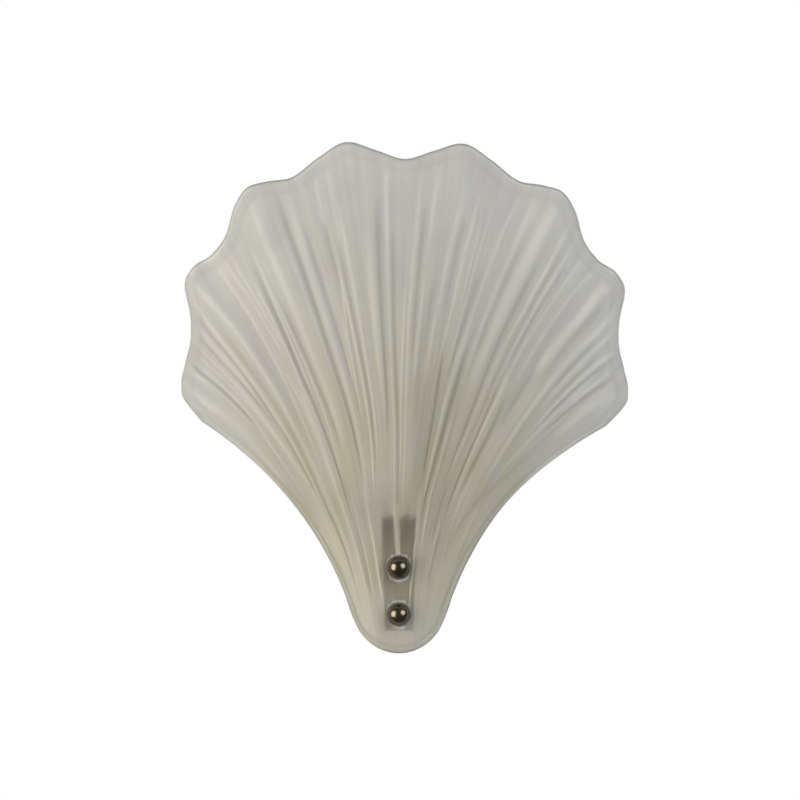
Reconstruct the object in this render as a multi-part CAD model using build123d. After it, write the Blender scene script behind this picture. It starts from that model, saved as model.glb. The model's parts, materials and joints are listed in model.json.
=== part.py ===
"""A wall light: a scallop shell of ribbed frosted glass, held by two ball nuts to a steel strap.

The frame: the origin lies on the wall, halfway between the two wall screws. X points right, Z points
up and the room is towards -Y. A "depth" is a distance from the wall, so y is minus the depth, and a
"rise" is a height above the top face of the arm that carries the lampholder. All sizes are in mm.
"""

from build123d import *
import math
import os

import numpy as np

# ---- driving dimensions -------------------------------------------------------------------------

# wall plate: a shallow pressed tray, open towards the wall
plate_width = 60.0
plate_height = 120.0
plate_depth = 6.0
plate_sheet = 1.5
plate_corner = 10.0
screw_spacing = 42.0
screw_hole = 5.2
screw_seat = 14.0

# arm bracket: rivet leg, level arm and the strap that hangs down behind the glass
bracket_sheet = 2.0
bracket_width = 19.5
strap_tip_width = 17.0
arm_drop = 30.2
rivet_leg = 27.0
strap_depth = 44.0
strap_length = 67.6
bend_radius = 1.5
rivet_diameter = 4.0
rivet_head = 7.0
rivet_head_height = 1.4
rivet_spacing = 13.0

# glass shell: outline of the fan, tongue, wall and how far it stands forward
fan_radius = 249.0
fan_pivot_height = 53.0
tongue_half_width = 29.45
tongue_height = 34.0
tongue_turn = 78.8
glass_wall = 5.5
glass_seat_grind = 0.15
glass_drop = 111.0
glass_lean = 3.4
lean_start = 80.0
lean_rise = 75.0
fan_reach = 80.0
belly_start = 62.0
belly_rise = 268.0
flank_setback = 6.25
rim_setback = 22.0
lobe_relief = 4.0
riblet_relief = 0.6
glass_hole = 7.0
lower_stud_height = 23.2
stud_spacing = 27.6

# studs, washers and ball nuts
stud_diameter = 3.8
stud_flange = 8.0
stud_flange_height = 1.2
stud_past_washer = 7.0
inner_washer = 12.0
inner_washer_thickness = 1.6
outer_washer = 13.8
outer_washer_thickness = 1.2
nut_ball = 12.6
nut_foot = 9.4
nut_bore_depth = 8.0
thread_clearance = 0.1
sleeve_clearance = 0.1

# lampholder on its nipple
lamp_depth = 30.0
nipple_diameter = 10.0
nipple_bore = 7.0
nipple_above_arm = 5.5
nipple_below_arm = 7.0
nipple_nut = 14.0
nipple_nut_height = 3.2
nipple_washer = 16.0
nipple_washer_thickness = 1.0
cap_neck = 16.0
cap_diameter = 26.0
cap_floor = 6.0
cap_height = 20.0
cap_wall = 2.0
core_height = 7.0
skirt_height = 34.0
skirt_wall = 2.0
skirt_lip = 2.0
liner_bore = 14.0
liner_wall = 0.5
liner_height = 24.0
liner_flange = 18.4
contact_diameter = 5.0
contact_height = 1.6
core_screw_head = 3.6
core_screw_head_height = 1.5
core_screw_shank = 2.4
core_terminal_radius = 8.0
core_terminal_offset = 3.0

# bulb: a clear tubular lamp on a small screw cap
bulb_cap = 13.8
bulb_cap_wall = 0.4
bulb_cap_height = 21.0
bulb_thread_pitch = 2.82
bulb_thread_groove = 0.4
bulb_tip = 4.4
bulb_tip_height = 1.4
bulb_insulator_height = 1.6
bulb_neck = 12.0
bulb_diameter = 28.0
bulb_shoulder = 16.0
bulb_length = 140.0
bulb_glass = 0.9
stem_height = 42.0
stem_diameter = 4.4
filament_wire = 0.7
filament_height = 48.0
filament_half_width = 6.0
support_splay_low = 4.0
support_splay_high = 12.0
support_bend = 2.5
filament_dip = 14.0
filament_peak_bend = 0.9
filament_dip_bend = 1.2

# terminal block, leads, earth screw and cable grommet
block_height = 16.0
block_depth = 14.0
block_below_arm = 6.0
block_margin = 5.5
way_spacing = 10.0
insert_diameter = 6.0
insert_bore = 3.8
insert_length = 14.0
clamp_screw = 3.2
clamp_screw_sink = 1.5
clamp_screw_spacing = 8.0
block_screw = 2.6
block_screw_head = 5.0
block_screw_head_height = 1.8
lead_diameter = 2.0
lead_loop_drop = 44.0
earth_loop_drop = 38.0
earth_x = 20.0
earth_drop = 20.0
earth_screw = 3.9
earth_screw_head = 7.0
earth_screw_head_height = 2.6
earth_tag_sheet = 0.8
earth_tag_ring = 7.6
earth_barrel = 3.6
earth_barrel_length = 5.0
star_washer_thickness = 0.6
grommet_x = -20.0
grommet_drop = 20.0
grommet_bore = 8.0
grommet_neck = 12.0
grommet_flange = 16.0
grommet_flange_thickness = 2.0

# clearance round a piece that stands in a hole without turning or bearing there
fit_clearance = 0.05
seat_gap = 0.02

# The rim of the right half of the fan, as angle from the upright and share of fan_radius
RIM = (
    (0.0, 0.953), (4.0, 0.975), (8.0, 1.0), (12.0, 0.975), (16.5, 0.945), (20.0, 0.954),
    (23.0, 0.956), (25.5, 0.930), (28.5, 0.881), (32.0, 0.857), (36.0, 0.855), (38.5, 0.836),
    (41.0, 0.775), (43.5, 0.737), (48.0, 0.701), (52.0, 0.674), (54.0, 0.648), (55.5, 0.585),
)
# Valleys fall on whole counts of lobes and crests halfway, at these shares of the half fan
LOBES = ((0.0, 0.0), (0.144, 0.5), (0.297, 1.0), (0.414, 1.5), (0.595, 2.0), (0.667, 2.5),
         (0.80, 3.0), (0.928, 3.5), (1.0, 3.8))
RIBLETS_PER_LOBE = 4
# Directions and handle lengths of the curves that run from the tongue to the rim
flank_start_angle = 19.8
flank_end_angle = 59.0
start_handle = 0.25
end_handle = 0.48

# ---- levels that follow from them ---------------------------------------------------------------

arm_top = -arm_drop
strap_front = strap_depth + bracket_sheet
seat_back = strap_front + inner_washer_thickness
glass_back = seat_back - glass_seat_grind
glass_front = glass_back + glass_wall
seat_front = glass_front - glass_seat_grind
nut_base = seat_front + outer_washer_thickness
stud_end = nut_base + stud_past_washer
lower_stud_z = lower_stud_height - glass_drop
upper_stud_z = lower_stud_z + stud_spacing
way_depth = plate_depth + block_depth * 0.43
block_top = arm_top - bracket_sheet - block_below_arm
block_bottom = block_top - block_height
core_rise = cap_height
core_radius = cap_diameter / 2 - skirt_wall - fit_clearance
liner_rise = core_rise + core_height
bulb_rise = liner_rise + contact_height + seat_gap
cap_rise = bulb_rise + bulb_tip_height + bulb_insulator_height


# ---- plain shapes -------------------------------------------------------------------------------

BOTTOM = (Align.CENTER, Align.CENTER, Align.MIN)


def rod(diameter, x, z, near, far):
    """A round bar square to the wall, from depth near to depth far."""
    return Pos(x, -near, z) * Rot(90, 0, 0) * Cylinder(diameter / 2, far - near, align=BOTTOM)


def ring(diameter, bore, x, z, near, far):
    """A round bar square to the wall with a hole right through."""
    return rod(diameter, x, z, near, far) - rod(bore, x, z, near - 1, far + 1)


def post(diameter, low, high, x=0.0, depth=lamp_depth):
    """An upright round bar, between two rises above the arm."""
    return Pos(x, -depth, arm_top + low) * Cylinder(diameter / 2, high - low, align=BOTTOM)


def tube(diameter, bore, low, high, x=0.0, depth=lamp_depth):
    """An upright round tube, between two rises above the arm."""
    return post(diameter, low, high, x, depth) - post(bore, low - 1, high + 1, x, depth)


def slab(x_low, x_high, near, far, z_low, z_high):
    """A box between two values of x, two depths and two heights."""
    box = Box(x_high - x_low, far - near, z_high - z_low, align=(Align.MIN,) * 3)
    return Pos(x_low, -far, z_low) * box


def turned(outline):
    """A solid of revolution about the lamp's axis, from a face drawn as radius and rise."""
    spun = revolve(Plane.XZ * outline, Axis.Z, 360)
    return Pos(0, -lamp_depth, arm_top) * spun


def polygon(points):
    """A flat face with straight sides."""
    return make_face(Polyline(*points, close=True))


def stud_heights():
    """The heights of the two studs, lower first."""
    return (lower_stud_z, upper_stud_z)


# ---- wall plate ---------------------------------------------------------------------------------


def make_wall_plate():
    """Pressed tray with two dimpled screw seats that reach back to the wall."""
    outside = Rot(90, 0, 0) * extrude(
        RectangleRounded(plate_width, plate_height, plate_corner), plate_depth)
    hollow = Rot(90, 0, 0) * extrude(
        RectangleRounded(plate_width - 2 * plate_sheet, plate_height - 2 * plate_sheet,
                         plate_corner - plate_sheet), plate_depth - plate_sheet)
    plate = outside - hollow
    for x in (-screw_spacing / 2, screw_spacing / 2):
        plate += rod(screw_seat, x, 0, 0, plate_depth)
        plate -= rod(screw_seat - 2 * plate_sheet, x, 0, plate_sheet, plate_depth + 1)
        plate -= rod(screw_hole, x, 0, -1, plate_sheet + 1)
    for z in rivet_heights():
        plate -= rod(rivet_diameter + 2 * fit_clearance, 0, z, 0, plate_depth + 1)
    plate -= rod(grommet_neck + 2 * fit_clearance, grommet_x, -grommet_drop, 0, plate_depth + 1)
    plate -= rod(earth_screw + 2 * fit_clearance, earth_x, -earth_drop, 0, plate_depth + 1)
    plate -= rod(block_screw + 2 * fit_clearance, way_spacing / 2, block_screw_z(), 0, plate_depth + 1)
    return plate


def rivet_heights():
    """Rivets sit evenly about the middle of the rivet leg."""
    middle = arm_top - bracket_sheet + rivet_leg / 2 + bracket_sheet / 2
    return (middle - rivet_spacing / 2, middle + rivet_spacing / 2)


def block_screw_z():
    """The screw of the terminal block is halfway up the block."""
    return (block_top + block_bottom) / 2


# ---- arm bracket --------------------------------------------------------------------------------


def make_arm_bracket():
    """One bent strip: up the plate, out along the arm and down behind the glass."""
    back = plate_depth
    low = arm_top - bracket_sheet
    side = [
        (-back, low + rivet_leg), (-back - bracket_sheet, low + rivet_leg),
        (-back - bracket_sheet, arm_top), (-strap_front, arm_top),
        (-strap_front, arm_top - strap_length), (-strap_depth, arm_top - strap_length),
        (-strap_depth, low), (-back, low),
    ]
    face = polygon(side)
    inner = [v for v in face.vertices() if is_at(v, side[2]) or is_at(v, side[6])]
    face = fillet(inner, bend_radius)
    outer = [v for v in face.vertices() if is_at(v, side[3]) or is_at(v, side[7])]
    face = fillet(outer, bend_radius + bracket_sheet)
    strip = extrude(Plane.YZ * face, bracket_width / 2, both=True)
    front = polygon([
        (-bracket_width / 2, plate_height), (-bracket_width / 2, low - bend_radius),
        (-strap_tip_width / 2, arm_top - strap_length), (strap_tip_width / 2, arm_top - strap_length),
        (bracket_width / 2, low - bend_radius), (bracket_width / 2, plate_height),
    ])
    strip &= extrude(Plane.XZ * front, strap_front + 1)
    for z in stud_heights():
        strip -= rod(stud_diameter + 2 * fit_clearance, 0, z, strap_depth - 1, strap_front + 1)
    for z in rivet_heights():
        strip -= rod(rivet_diameter + 2 * fit_clearance, 0, z, 0, plate_depth + bracket_sheet + 1)
    strip -= post(nipple_diameter + 2 * fit_clearance, -bracket_sheet - 1, 1)
    return strip


def is_at(vertex, point):
    """True for the corner of a flat face that lies at this point."""
    return abs(vertex.X - point[0]) + abs(vertex.Y - point[1]) < 1e-6


def make_bracket_rivets():
    """Two rivets with a domed head on each side of plate and leg."""
    rivets = []
    for z in rivet_heights():
        back = plate_depth - plate_sheet
        front = plate_depth + bracket_sheet
        rivet = rod(rivet_diameter, 0, z, back - 0.5, front + 0.5)
        rivet += rod(rivet_head, 0, z, back - rivet_head_height, back)
        head = rod(rivet_head, 0, z, front, front + rivet_head_height)
        rivet += fillet(head.edges().sort_by(Axis.Y)[0], rivet_head_height * 0.8)
        rivets.append(rivet)
    return rivets


# ---- glass shell --------------------------------------------------------------------------------


def smooth(share):
    """Rises from 0 to 1 with level ends."""
    share = np.clip(share, 0, 1)
    return share * share * (3 - 2 * share)


def rim_radius(angle):
    """Radius of the fan's rim: a cubic through the knots of RIM, level at the middle."""
    angles = np.array([knot[0] for knot in RIM])
    radii = np.array([knot[1] for knot in RIM]) * fan_radius
    slopes = np.gradient(radii, angles)
    slopes[0] = 0
    away = np.abs(angle)
    i = np.clip(np.searchsorted(angles, away, side="right") - 1, 0, len(angles) - 2)
    width = angles[i + 1] - angles[i]
    s = (away - angles[i]) / width
    return ((2 * s**3 - 3 * s**2 + 1) * radii[i] + (s**3 - 2 * s**2 + s) * width * slopes[i]
            + (3 * s**2 - 2 * s**3) * radii[i + 1] + (s**3 - s**2) * width * slopes[i + 1])


def cubic(start, first, second, end, t):
    """A cubic Bezier curve's coordinate."""
    r = 1 - t
    return r**3 * start + 3 * r**2 * t * first + 3 * r * t**2 * second + t**3 * end


def middle_surface(side, t):
    """Points halfway through the glass wall. side runs from -1 to 1 across the fan, t from tongue to rim.

    Each rib is a cubic from a place on the tongue's round end to a place on the rim. Lower down the ribs
    draw in towards the middle. The depth grows along t and falls off to the flanks as a cosine.
    """
    u = side * (1 - 0.32 * (1 - t)**2.2 * (1 - side**4))
    half_fan = RIM[-1][0]
    angle = np.radians(u * half_fan)
    radius = rim_radius(u * half_fan)
    rim_x = radius * np.sin(angle)
    rim_z = fan_pivot_height + radius * np.cos(angle)
    spread = 0.78 * u + 0.22 * u**5
    turn = np.radians(spread * tongue_turn)
    foot_x = tongue_half_width * np.sin(turn)
    foot_z = tongue_height * (1 - np.cos(turn))
    length = np.hypot(rim_x - foot_x, rim_z - foot_z)
    leave = np.radians(flank_start_angle * spread)
    arrive = np.radians(flank_end_angle * u)
    first, last = start_handle * length, end_handle * length
    x = cubic(foot_x, foot_x + first * np.sin(leave), rim_x - last * np.sin(arrive), rim_x, t)
    z = cubic(foot_z, foot_z + first * np.cos(leave), rim_z - last * np.cos(arrive), rim_z, t)
    centre_z = cubic(0, start_handle, 1 - end_handle, 1, t) * (fan_pivot_height + fan_radius * RIM[0][1])
    level = glass_front - glass_wall / 2
    middle_depth = level + fan_reach * smooth((centre_z - belly_start) / belly_rise)
    flank_depth = level - flank_setback - rim_setback * t
    flat = 0.3 * (1 - smooth(t / 0.45))
    across = np.clip((np.abs(side) - flat) / (1 - flat), 0, 1)
    depth = middle_depth - (middle_depth - flank_depth) * (1 - np.cos(np.pi / 2 * across))
    return np.stack([x, -depth, z], axis=-1)


def glass_surface(side, t, face):
    """Points of the front (face = 1) or back (face = -1) of the glass, lobes and riblets included.

    Each lies half the wall off the middle surface, along its normal, which turns straight out from the
    wall towards the flanks and the rim, so that the edge of the glass is seen end on from the front.
    The fan leans to the right: its right side sinks and its left side rises as its top moves over.
    """
    step = 1e-4
    across = middle_surface(np.clip(side + step, -1, 1), t) - middle_surface(np.clip(side - step, -1, 1), t)
    along = middle_surface(side, np.clip(t + step, 0, 1)) - middle_surface(side, np.clip(t - step, 0, 1))
    normal = np.cross(across, along)
    normal /= np.linalg.norm(normal, axis=-1, keepdims=True)
    at_edge = 1 - (1 - smooth((np.abs(side) - 0.84) / 0.16)) * (1 - smooth((t - 0.9) / 0.1))
    normal = normal * (1 - at_edge)[..., None] + np.array([0, -1, 0]) * at_edge[..., None]
    normal /= np.linalg.norm(normal, axis=-1, keepdims=True)
    count = np.interp(np.abs(side), [k[0] for k in LOBES], [k[1] for k in LOBES])
    lobe = -0.5 * lobe_relief * np.cos(2 * np.pi * count) * smooth((t - 0.2) / 0.75)
    offset = lobe + face * glass_wall / 2
    if face > 0:
        riblet = riblet_relief * np.cos(2 * np.pi * RIBLETS_PER_LOBE * count)
        offset = offset + riblet * smooth(t / 0.6)
    points = middle_surface(side, t) + normal * offset[..., None]
    leaning = glass_lean * smooth((points[..., 2] - lean_start) / lean_rise)
    points[..., 2] -= glass_drop + leaning * points[..., 0] / fan_radius
    points[..., 0] += leaning
    return points


def patch_controls(samples):
    """Control points of the Bezier patch that passes through samples taken at Chebyshev places."""
    across = np.linalg.inv(bernstein(samples.shape[0] - 1))
    along = np.linalg.inv(bernstein(samples.shape[1] - 1))
    return np.einsum("ik,klc,jl->ijc", across, samples, along)


def bernstein(degree):
    """Bernstein polynomials of this degree at the Chebyshev places, one row for each place."""
    s = chebyshev(degree)[:, None]
    k = np.arange(degree + 1)[None, :]
    counts = np.array([math.comb(degree, i) for i in range(degree + 1)])
    return counts * s**k * (1 - s)**(degree - k)


def chebyshev(degree):
    """Places from 0 to 1 that crowd at both ends."""
    return 0.5 - 0.5 * np.cos(np.pi * np.arange(degree + 1) / degree)


def patch(controls):
    """A Bezier face from an array of control points."""
    return Face.make_bezier_surface([[Vector(*point) for point in row] for row in controls])


def make_glass_shell():
    """Front and back in matching patches, half a lobe each, closed along rim, tongue and flanks."""
    half = [knot[0] for knot in LOBES]
    sides = [-s for s in reversed(half[1:])] + half
    across_degree, along_degree = 10, 12
    t = chebyshev(along_degree)[None, :] * np.ones((across_degree + 1, 1))
    faces = []
    for start, end in zip(sides[:-1], sides[1:]):
        side = (start + (end - start) * chebyshev(across_degree))[:, None] * np.ones((1, along_degree + 1))
        front = patch_controls(glass_surface(side, t, 1))
        back = patch_controls(glass_surface(side, t, -1))
        faces += [patch(front), patch(back)]
        faces += [patch(np.stack([front[:, row], back[:, row]])) for row in (0, -1)]
        if start == sides[0]:
            faces.append(patch(np.stack([front[0], back[0]])))
        if end == sides[-1]:
            faces.append(patch(np.stack([front[-1], back[-1]])))
    shell = Solid(Shell(Face.sew_faces(faces)[0]))
    if shell.volume < 0:
        shell = Solid(Shell([-f for f in shell.faces()]))
    glass = Part() + shell
    for z in stud_heights():
        glass -= rod(glass_hole, 0, z, glass_back - 5, glass_front + 5)
        glass -= rod(outer_washer + 1, 0, z, seat_front, glass_front + 5)
        glass -= rod(outer_washer + 1, 0, z, glass_back - 5, seat_back)
    return glass


# ---- studs, washers, sleeves and ball nuts ------------------------------------------------------


def make_stud(z):
    """A headed stud pressed into the strap from behind."""
    stud = rod(stud_flange, 0, z, strap_depth - stud_flange_height, strap_depth)
    shank = rod(stud_diameter, 0, z, strap_depth - 0.5, stud_end)
    return stud + chamfer(shank.edges().sort_by(Axis.Y)[0], 0.4)


def make_inner_washers():
    """Soft washers between strap and glass."""
    bore = stud_diameter + 2 * fit_clearance
    return [ring(inner_washer, bore, 0, z, strap_front, seat_back) for z in stud_heights()]


def make_glass_sleeves():
    """Sleeves that keep the studs off the drilled glass."""
    outside = glass_hole - 2 * sleeve_clearance
    bore = stud_diameter + 2 * fit_clearance
    return [ring(outside, bore, 0, z, seat_back, seat_front) for z in stud_heights()]


def make_outer_washer(z):
    """A clear soft washer under the ball nut, its edge eased."""
    bore = stud_diameter + 2 * thread_clearance
    washer = ring(outer_washer, bore, 0, z, seat_front, nut_base)
    return fillet(washer.edges().filter_by(GeomType.CIRCLE).group_by(Axis.Y)[0].sort_by(SortBy.RADIUS)[-1],
                  outer_washer_thickness * 0.4)


def make_ball_nut(z):
    """A ball with a flat foot and a blind threaded bore."""
    radius = nut_ball / 2
    centre = nut_base + math.sqrt(radius**2 - (nut_foot / 2)**2)
    ball = Pos(0, -centre, z) * Sphere(radius)
    ball &= slab(-radius, radius, nut_base, nut_base + nut_ball, z - radius, z + radius)
    return ball - rod(stud_diameter + 2 * thread_clearance, 0, z, nut_base - 1, nut_base + nut_bore_depth)


# ---- lampholder ---------------------------------------------------------------------------------


def make_lampholder_nipple():
    """Threaded hollow nipple that ties the lampholder to the arm."""
    return tube(nipple_diameter, nipple_bore, -bracket_sheet - nipple_below_arm, nipple_above_arm)


def make_nipple_washer():
    """Spring washer under the arm."""
    low = -bracket_sheet - nipple_washer_thickness
    return tube(nipple_washer, nipple_diameter + 2 * fit_clearance, low, -bracket_sheet)


def make_nipple_nut():
    """Hexagon nut below the spring washer."""
    top = -bracket_sheet - nipple_washer_thickness
    hexagon = extrude(RegularPolygon(nipple_nut / 2, 6, major_radius=False), nipple_nut_height)
    nut = Pos(0, -lamp_depth, arm_top + top - nipple_nut_height) * hexagon
    return nut - post(nipple_diameter + 2 * fit_clearance, top - nipple_nut_height - 1, top + 1)


def make_lampholder_cap():
    """Bell-shaped cap with a threaded neck."""
    neck, body, wall = cap_neck / 2, cap_diameter / 2, cap_wall
    flare = cap_floor + 6
    outside = turned(polygon([(0, 0), (neck, 0), (neck, cap_floor - 1), (body, flare), (body, cap_height),
                              (0, cap_height)]))
    inside = turned(polygon([(0, cap_floor), (neck - wall, cap_floor), (body - wall, flare + 1),
                             (body - wall, cap_height + 1), (0, cap_height + 1)]))
    return outside - inside - post(nipple_diameter + 2 * fit_clearance, -1, cap_floor + 1)


def terminal_places():
    """Where the core's two wires go in, and where their screws sit, as x and depth."""
    for x in (-core_terminal_radius, core_terminal_radius):
        yield (x, lamp_depth - core_terminal_offset), (x, lamp_depth + core_terminal_offset)


def make_lampholder_core():
    """Insulating core with two wire holes and two screw holes in its underside."""
    core = post(2 * core_radius, core_rise, core_rise + core_height)
    for wire, screw in terminal_places():
        core -= post(lead_diameter + 0.6, core_rise - 1, core_rise + 4, *wire)
        core -= post(core_screw_shank + 2 * fit_clearance, core_rise - 1, core_rise + 4.2, *screw)
    return core


def make_core_terminal_screws():
    """Two brass screws with slotted heads under the core."""
    screws = []
    for _, (x, depth) in terminal_places():
        low = core_rise - core_screw_head_height
        screw = post(core_screw_head, low, core_rise, x, depth)
        screw += post(core_screw_shank, core_rise - 0.5, core_rise + 4, x, depth)
        half = core_screw_head / 2
        screw -= slab(x - half, x + half, depth - 0.3, depth + 0.3, arm_top + low, arm_top + low + 0.6)
        screws.append(screw)
    return screws


def make_lampholder_skirt():
    """Outer sleeve round core and liner, with a lip at the top."""
    outside = cap_diameter
    top = core_rise + skirt_height
    skirt = tube(outside, outside - 2 * skirt_wall, core_rise, top)
    lip_bore = liner_bore + 2 * liner_wall + 2 * fit_clearance
    skirt += tube(outside - 1, lip_bore, top - skirt_lip, top)
    return skirt


def make_lampholder_liner():
    """Brass liner that takes the bulb's screw cap, on a flange on the core."""
    outside = liner_bore + 2 * liner_wall
    liner = tube(outside, liner_bore, liner_rise, liner_rise + liner_height)
    return liner + tube(liner_flange, liner_bore - 2, liner_rise, liner_rise + 2 * liner_wall)


def make_centre_contact():
    """Sprung contact under the bulb's tip."""
    contact = post(contact_diameter, liner_rise, liner_rise + contact_height)
    return fillet(contact.edges().group_by(Axis.Z)[-1], contact_height * 0.4)


# ---- bulb ---------------------------------------------------------------------------------------


def make_bulb_tip():
    """Solder tip that meets the centre contact."""
    tip = post(bulb_tip, bulb_rise, bulb_rise + bulb_tip_height)
    return fillet(tip.edges().group_by(Axis.Z)[0], bulb_tip_height * 0.5)


def make_bulb_insulator():
    """Black glass cone between tip and cap."""
    low = bulb_rise + bulb_tip_height
    return turned(polygon([(0, low), (bulb_tip / 2 + 0.6, low), (bulb_cap / 2 - 0.5, cap_rise), (0, cap_rise)]))


def make_bulb_cap():
    """Thin screw cap, its thread drawn as rings, open at the top for the bulb's neck."""
    crest, root = bulb_cap / 2, bulb_cap / 2 - bulb_thread_groove
    points = [(0, cap_rise), (root, cap_rise)]
    turns = int((bulb_cap_height - 5) / bulb_thread_pitch)
    for turn in range(turns):
        low = cap_rise + 1 + turn * bulb_thread_pitch
        points += [(root, low), (crest, low + 0.35 * bulb_thread_pitch), (crest, low + 0.5 * bulb_thread_pitch),
                   (root, low + 0.85 * bulb_thread_pitch)]
    points += [(root, cap_rise + bulb_cap_height), (0, cap_rise + bulb_cap_height)]
    hollow = post(2 * (root - bulb_cap_wall), cap_rise + bulb_cap_wall, cap_rise + bulb_cap_height + 1)
    return turned(polygon(points)) - hollow


def bulb_form(inset, foot):
    """The bulb's glass as a solid of revolution, drawn in by inset and standing on the rise foot."""
    neck, body = bulb_neck / 2 - inset, bulb_diameter / 2 - inset
    throat = cap_rise + bulb_cap_height + 1
    full = throat + bulb_shoulder
    dome = bulb_rise + bulb_length - bulb_diameter / 2
    turn = body * math.sqrt(0.5)
    outline = [
        Line((0, foot), (neck, foot)), Line((neck, foot), (neck, throat)),
        Bezier((neck, throat), (neck, throat + 0.5 * bulb_shoulder), (body, full - 0.5 * bulb_shoulder),
               (body, full)),
        Line((body, full), (body, dome)),
        ThreePointArc((body, dome), (turn, dome + turn), (0, dome + body)),
        Line((0, dome + body), (0, foot)),
    ]
    return turned(make_face(Wire(outline)))


def make_bulb_envelope():
    """Clear tubular glass, open at its neck inside the cap."""
    foot = cap_rise + bulb_cap_height - 9
    return bulb_form(0, foot) - bulb_form(bulb_glass, foot - 1)


def make_bulb_stem():
    """Glass stem inside the bulb, flared where it joins the neck."""
    foot = cap_rise + bulb_cap_height - 9
    flare = bulb_neck / 2 - bulb_glass - fit_clearance
    slim = stem_diameter / 2
    return turned(polygon([(0, foot), (flare, foot), (flare, foot + 1), (slim + 1, foot + 5), (slim, foot + 10),
                           (slim, foot + stem_height), (0, foot + stem_height)]))


def make_bulb_filament():
    """Supports and coiled filament as one wire, up, across in two peaks and down."""
    foot = arm_top + cap_rise + bulb_cap_height - 9 + stem_height + seat_gap
    wide, top = filament_half_width, foot + filament_height
    inner = stem_diameter / 2 - 0.6
    low, high, dip = foot + support_splay_low, foot + support_splay_high, foot + filament_dip
    left = [(-inner, foot), (-inner, low), (-wide, high), (-wide, top), (-wide / 3, dip)]
    right = [(-x, z) for x, z in reversed(left)]
    points = [(x, -lamp_depth, z) for x, z in left + right]
    bends = [support_bend, support_bend, filament_peak_bend, filament_dip_bend]
    path = FilletPolyline(*points, radius=bends + bends[::-1])
    return sweep_round(path, filament_wire)


def sweep_round(path, diameter):
    """A round bar along a path."""
    start = Plane(origin=path @ 0, z_dir=path % 0)
    return sweep(start * Circle(diameter / 2), path=path)


# ---- terminal block and leads -------------------------------------------------------------------


def way_places():
    """Where the block's three ways stand: live, neutral, earth."""
    return (-way_spacing, 0.0, way_spacing)


def clamp_heights():
    """Each way has two clamp screws, one for each side of the block."""
    middle = block_screw_z()
    return (middle - clamp_screw_spacing / 2, middle + clamp_screw_spacing / 2)


def clamp_span():
    """A clamp screw reaches from just short of its lead to below the block's face."""
    return way_depth + lead_diameter / 2 + 0.1, plate_depth + block_depth - clamp_screw_sink


def make_terminal_block():
    """Moulded block with a through hole for each way and sunk screw holes in front."""
    half = way_spacing + block_margin
    block = slab(-half, half, plate_depth, plate_depth + block_depth, block_bottom, block_top)
    block = fillet(block.edges().filter_by(Axis.Y), 1.5)
    face = plate_depth + block_depth + 1
    for x in way_places():
        block -= Pos(x, -way_depth, block_bottom - 1) * Cylinder(
            insert_diameter / 2 + fit_clearance, block_height + 2, align=BOTTOM)
        for z in clamp_heights():
            block -= rod(clamp_screw + 2 * fit_clearance, x, z, way_depth, face)
    x, z = way_spacing / 2, block_screw_z()
    block -= rod(block_screw + 2 * fit_clearance, x, z, 0, face)
    block -= rod(block_screw_head + 0.4, x, z, face - 1 - block_screw_head_height - 0.6, face)
    return block


def make_terminal_inserts():
    """Brass tubes, one in each way."""
    inserts = []
    low = block_screw_z() - insert_length / 2
    for x in way_places():
        stand = Pos(x, -way_depth, low)
        insert = stand * Cylinder(insert_diameter / 2, insert_length, align=BOTTOM)
        insert -= stand * Cylinder(insert_bore / 2, insert_length, align=BOTTOM)
        for z in clamp_heights():
            insert -= rod(clamp_screw + 2 * fit_clearance, x, z, way_depth, way_depth + insert_diameter)
        inserts.append(insert)
    return inserts


def make_terminal_screws():
    """Two clamp screws for each way, slotted."""
    screws = []
    near, far = clamp_span()
    for x in way_places():
        for z in clamp_heights():
            screw = rod(clamp_screw, x, z, near, far)
            half = clamp_screw / 2
            screws.append(screw - slab(x - half, x + half, far - 0.7, far, z - 0.3, z + 0.3))
    return screws


def make_terminal_block_screw():
    """Screw that holds the block to the plate."""
    x, z = way_spacing / 2, block_screw_z()
    head_under = plate_depth + block_depth - block_screw_head_height - 0.6
    screw = rod(block_screw, x, z, plate_depth - plate_sheet - 1, head_under + 0.5)
    screw += rod(block_screw_head, x, z, head_under, head_under + block_screw_head_height)
    half = block_screw_head / 2
    top = head_under + block_screw_head_height
    return screw - slab(x - half, x + half, top - 0.6, top, z - 0.35, z + 0.35)


def bend_radii(points, share=0.45):
    """The radius at each corner of a route: share of its shorter run over the tangent of half the turn."""
    radii = []
    for before, corner, after in zip(points[:-2], points[1:-1], points[2:]):
        arriving, leaving = Vector(*corner) - Vector(*before), Vector(*after) - Vector(*corner)
        turn = math.radians(arriving.get_angle(leaving))
        radii.append(share * min(arriving.length, leaving.length) / math.tan(turn / 2))
    return radii


def lead(points):
    """An insulated lead along a route of straight runs and tangent arcs."""
    path = FilletPolyline(*points, radius=bend_radii(points))
    solid = sweep_round(path, lead_diameter)
    print("lead", [round(r, 1) for r in bend_radii(points)], "length", round(path.length, 1),
          "volume ratio", round(solid.volume / (math.pi * (lead_diameter / 2)**2 * path.length), 4))
    return solid


def lamp_lead(hand, way_x):
    """From a terminal of the core, down through the nipple, round and up into a way of the block."""
    side = hand * core_terminal_radius
    bore_x = hand * (nipple_bore / 4 - 0.2)
    entry = -(lamp_depth - core_terminal_offset)
    turn_z = arm_top - lead_loop_drop
    return lead([
        (side, entry, arm_top + core_rise + 3.5), (side, entry, arm_top + core_rise - 4),
        (bore_x, -lamp_depth, arm_top + nipple_above_arm + 1), (bore_x, -lamp_depth, turn_z),
        (way_x, -way_depth, turn_z), (way_x, -way_depth, block_bottom + 5),
    ])


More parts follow.
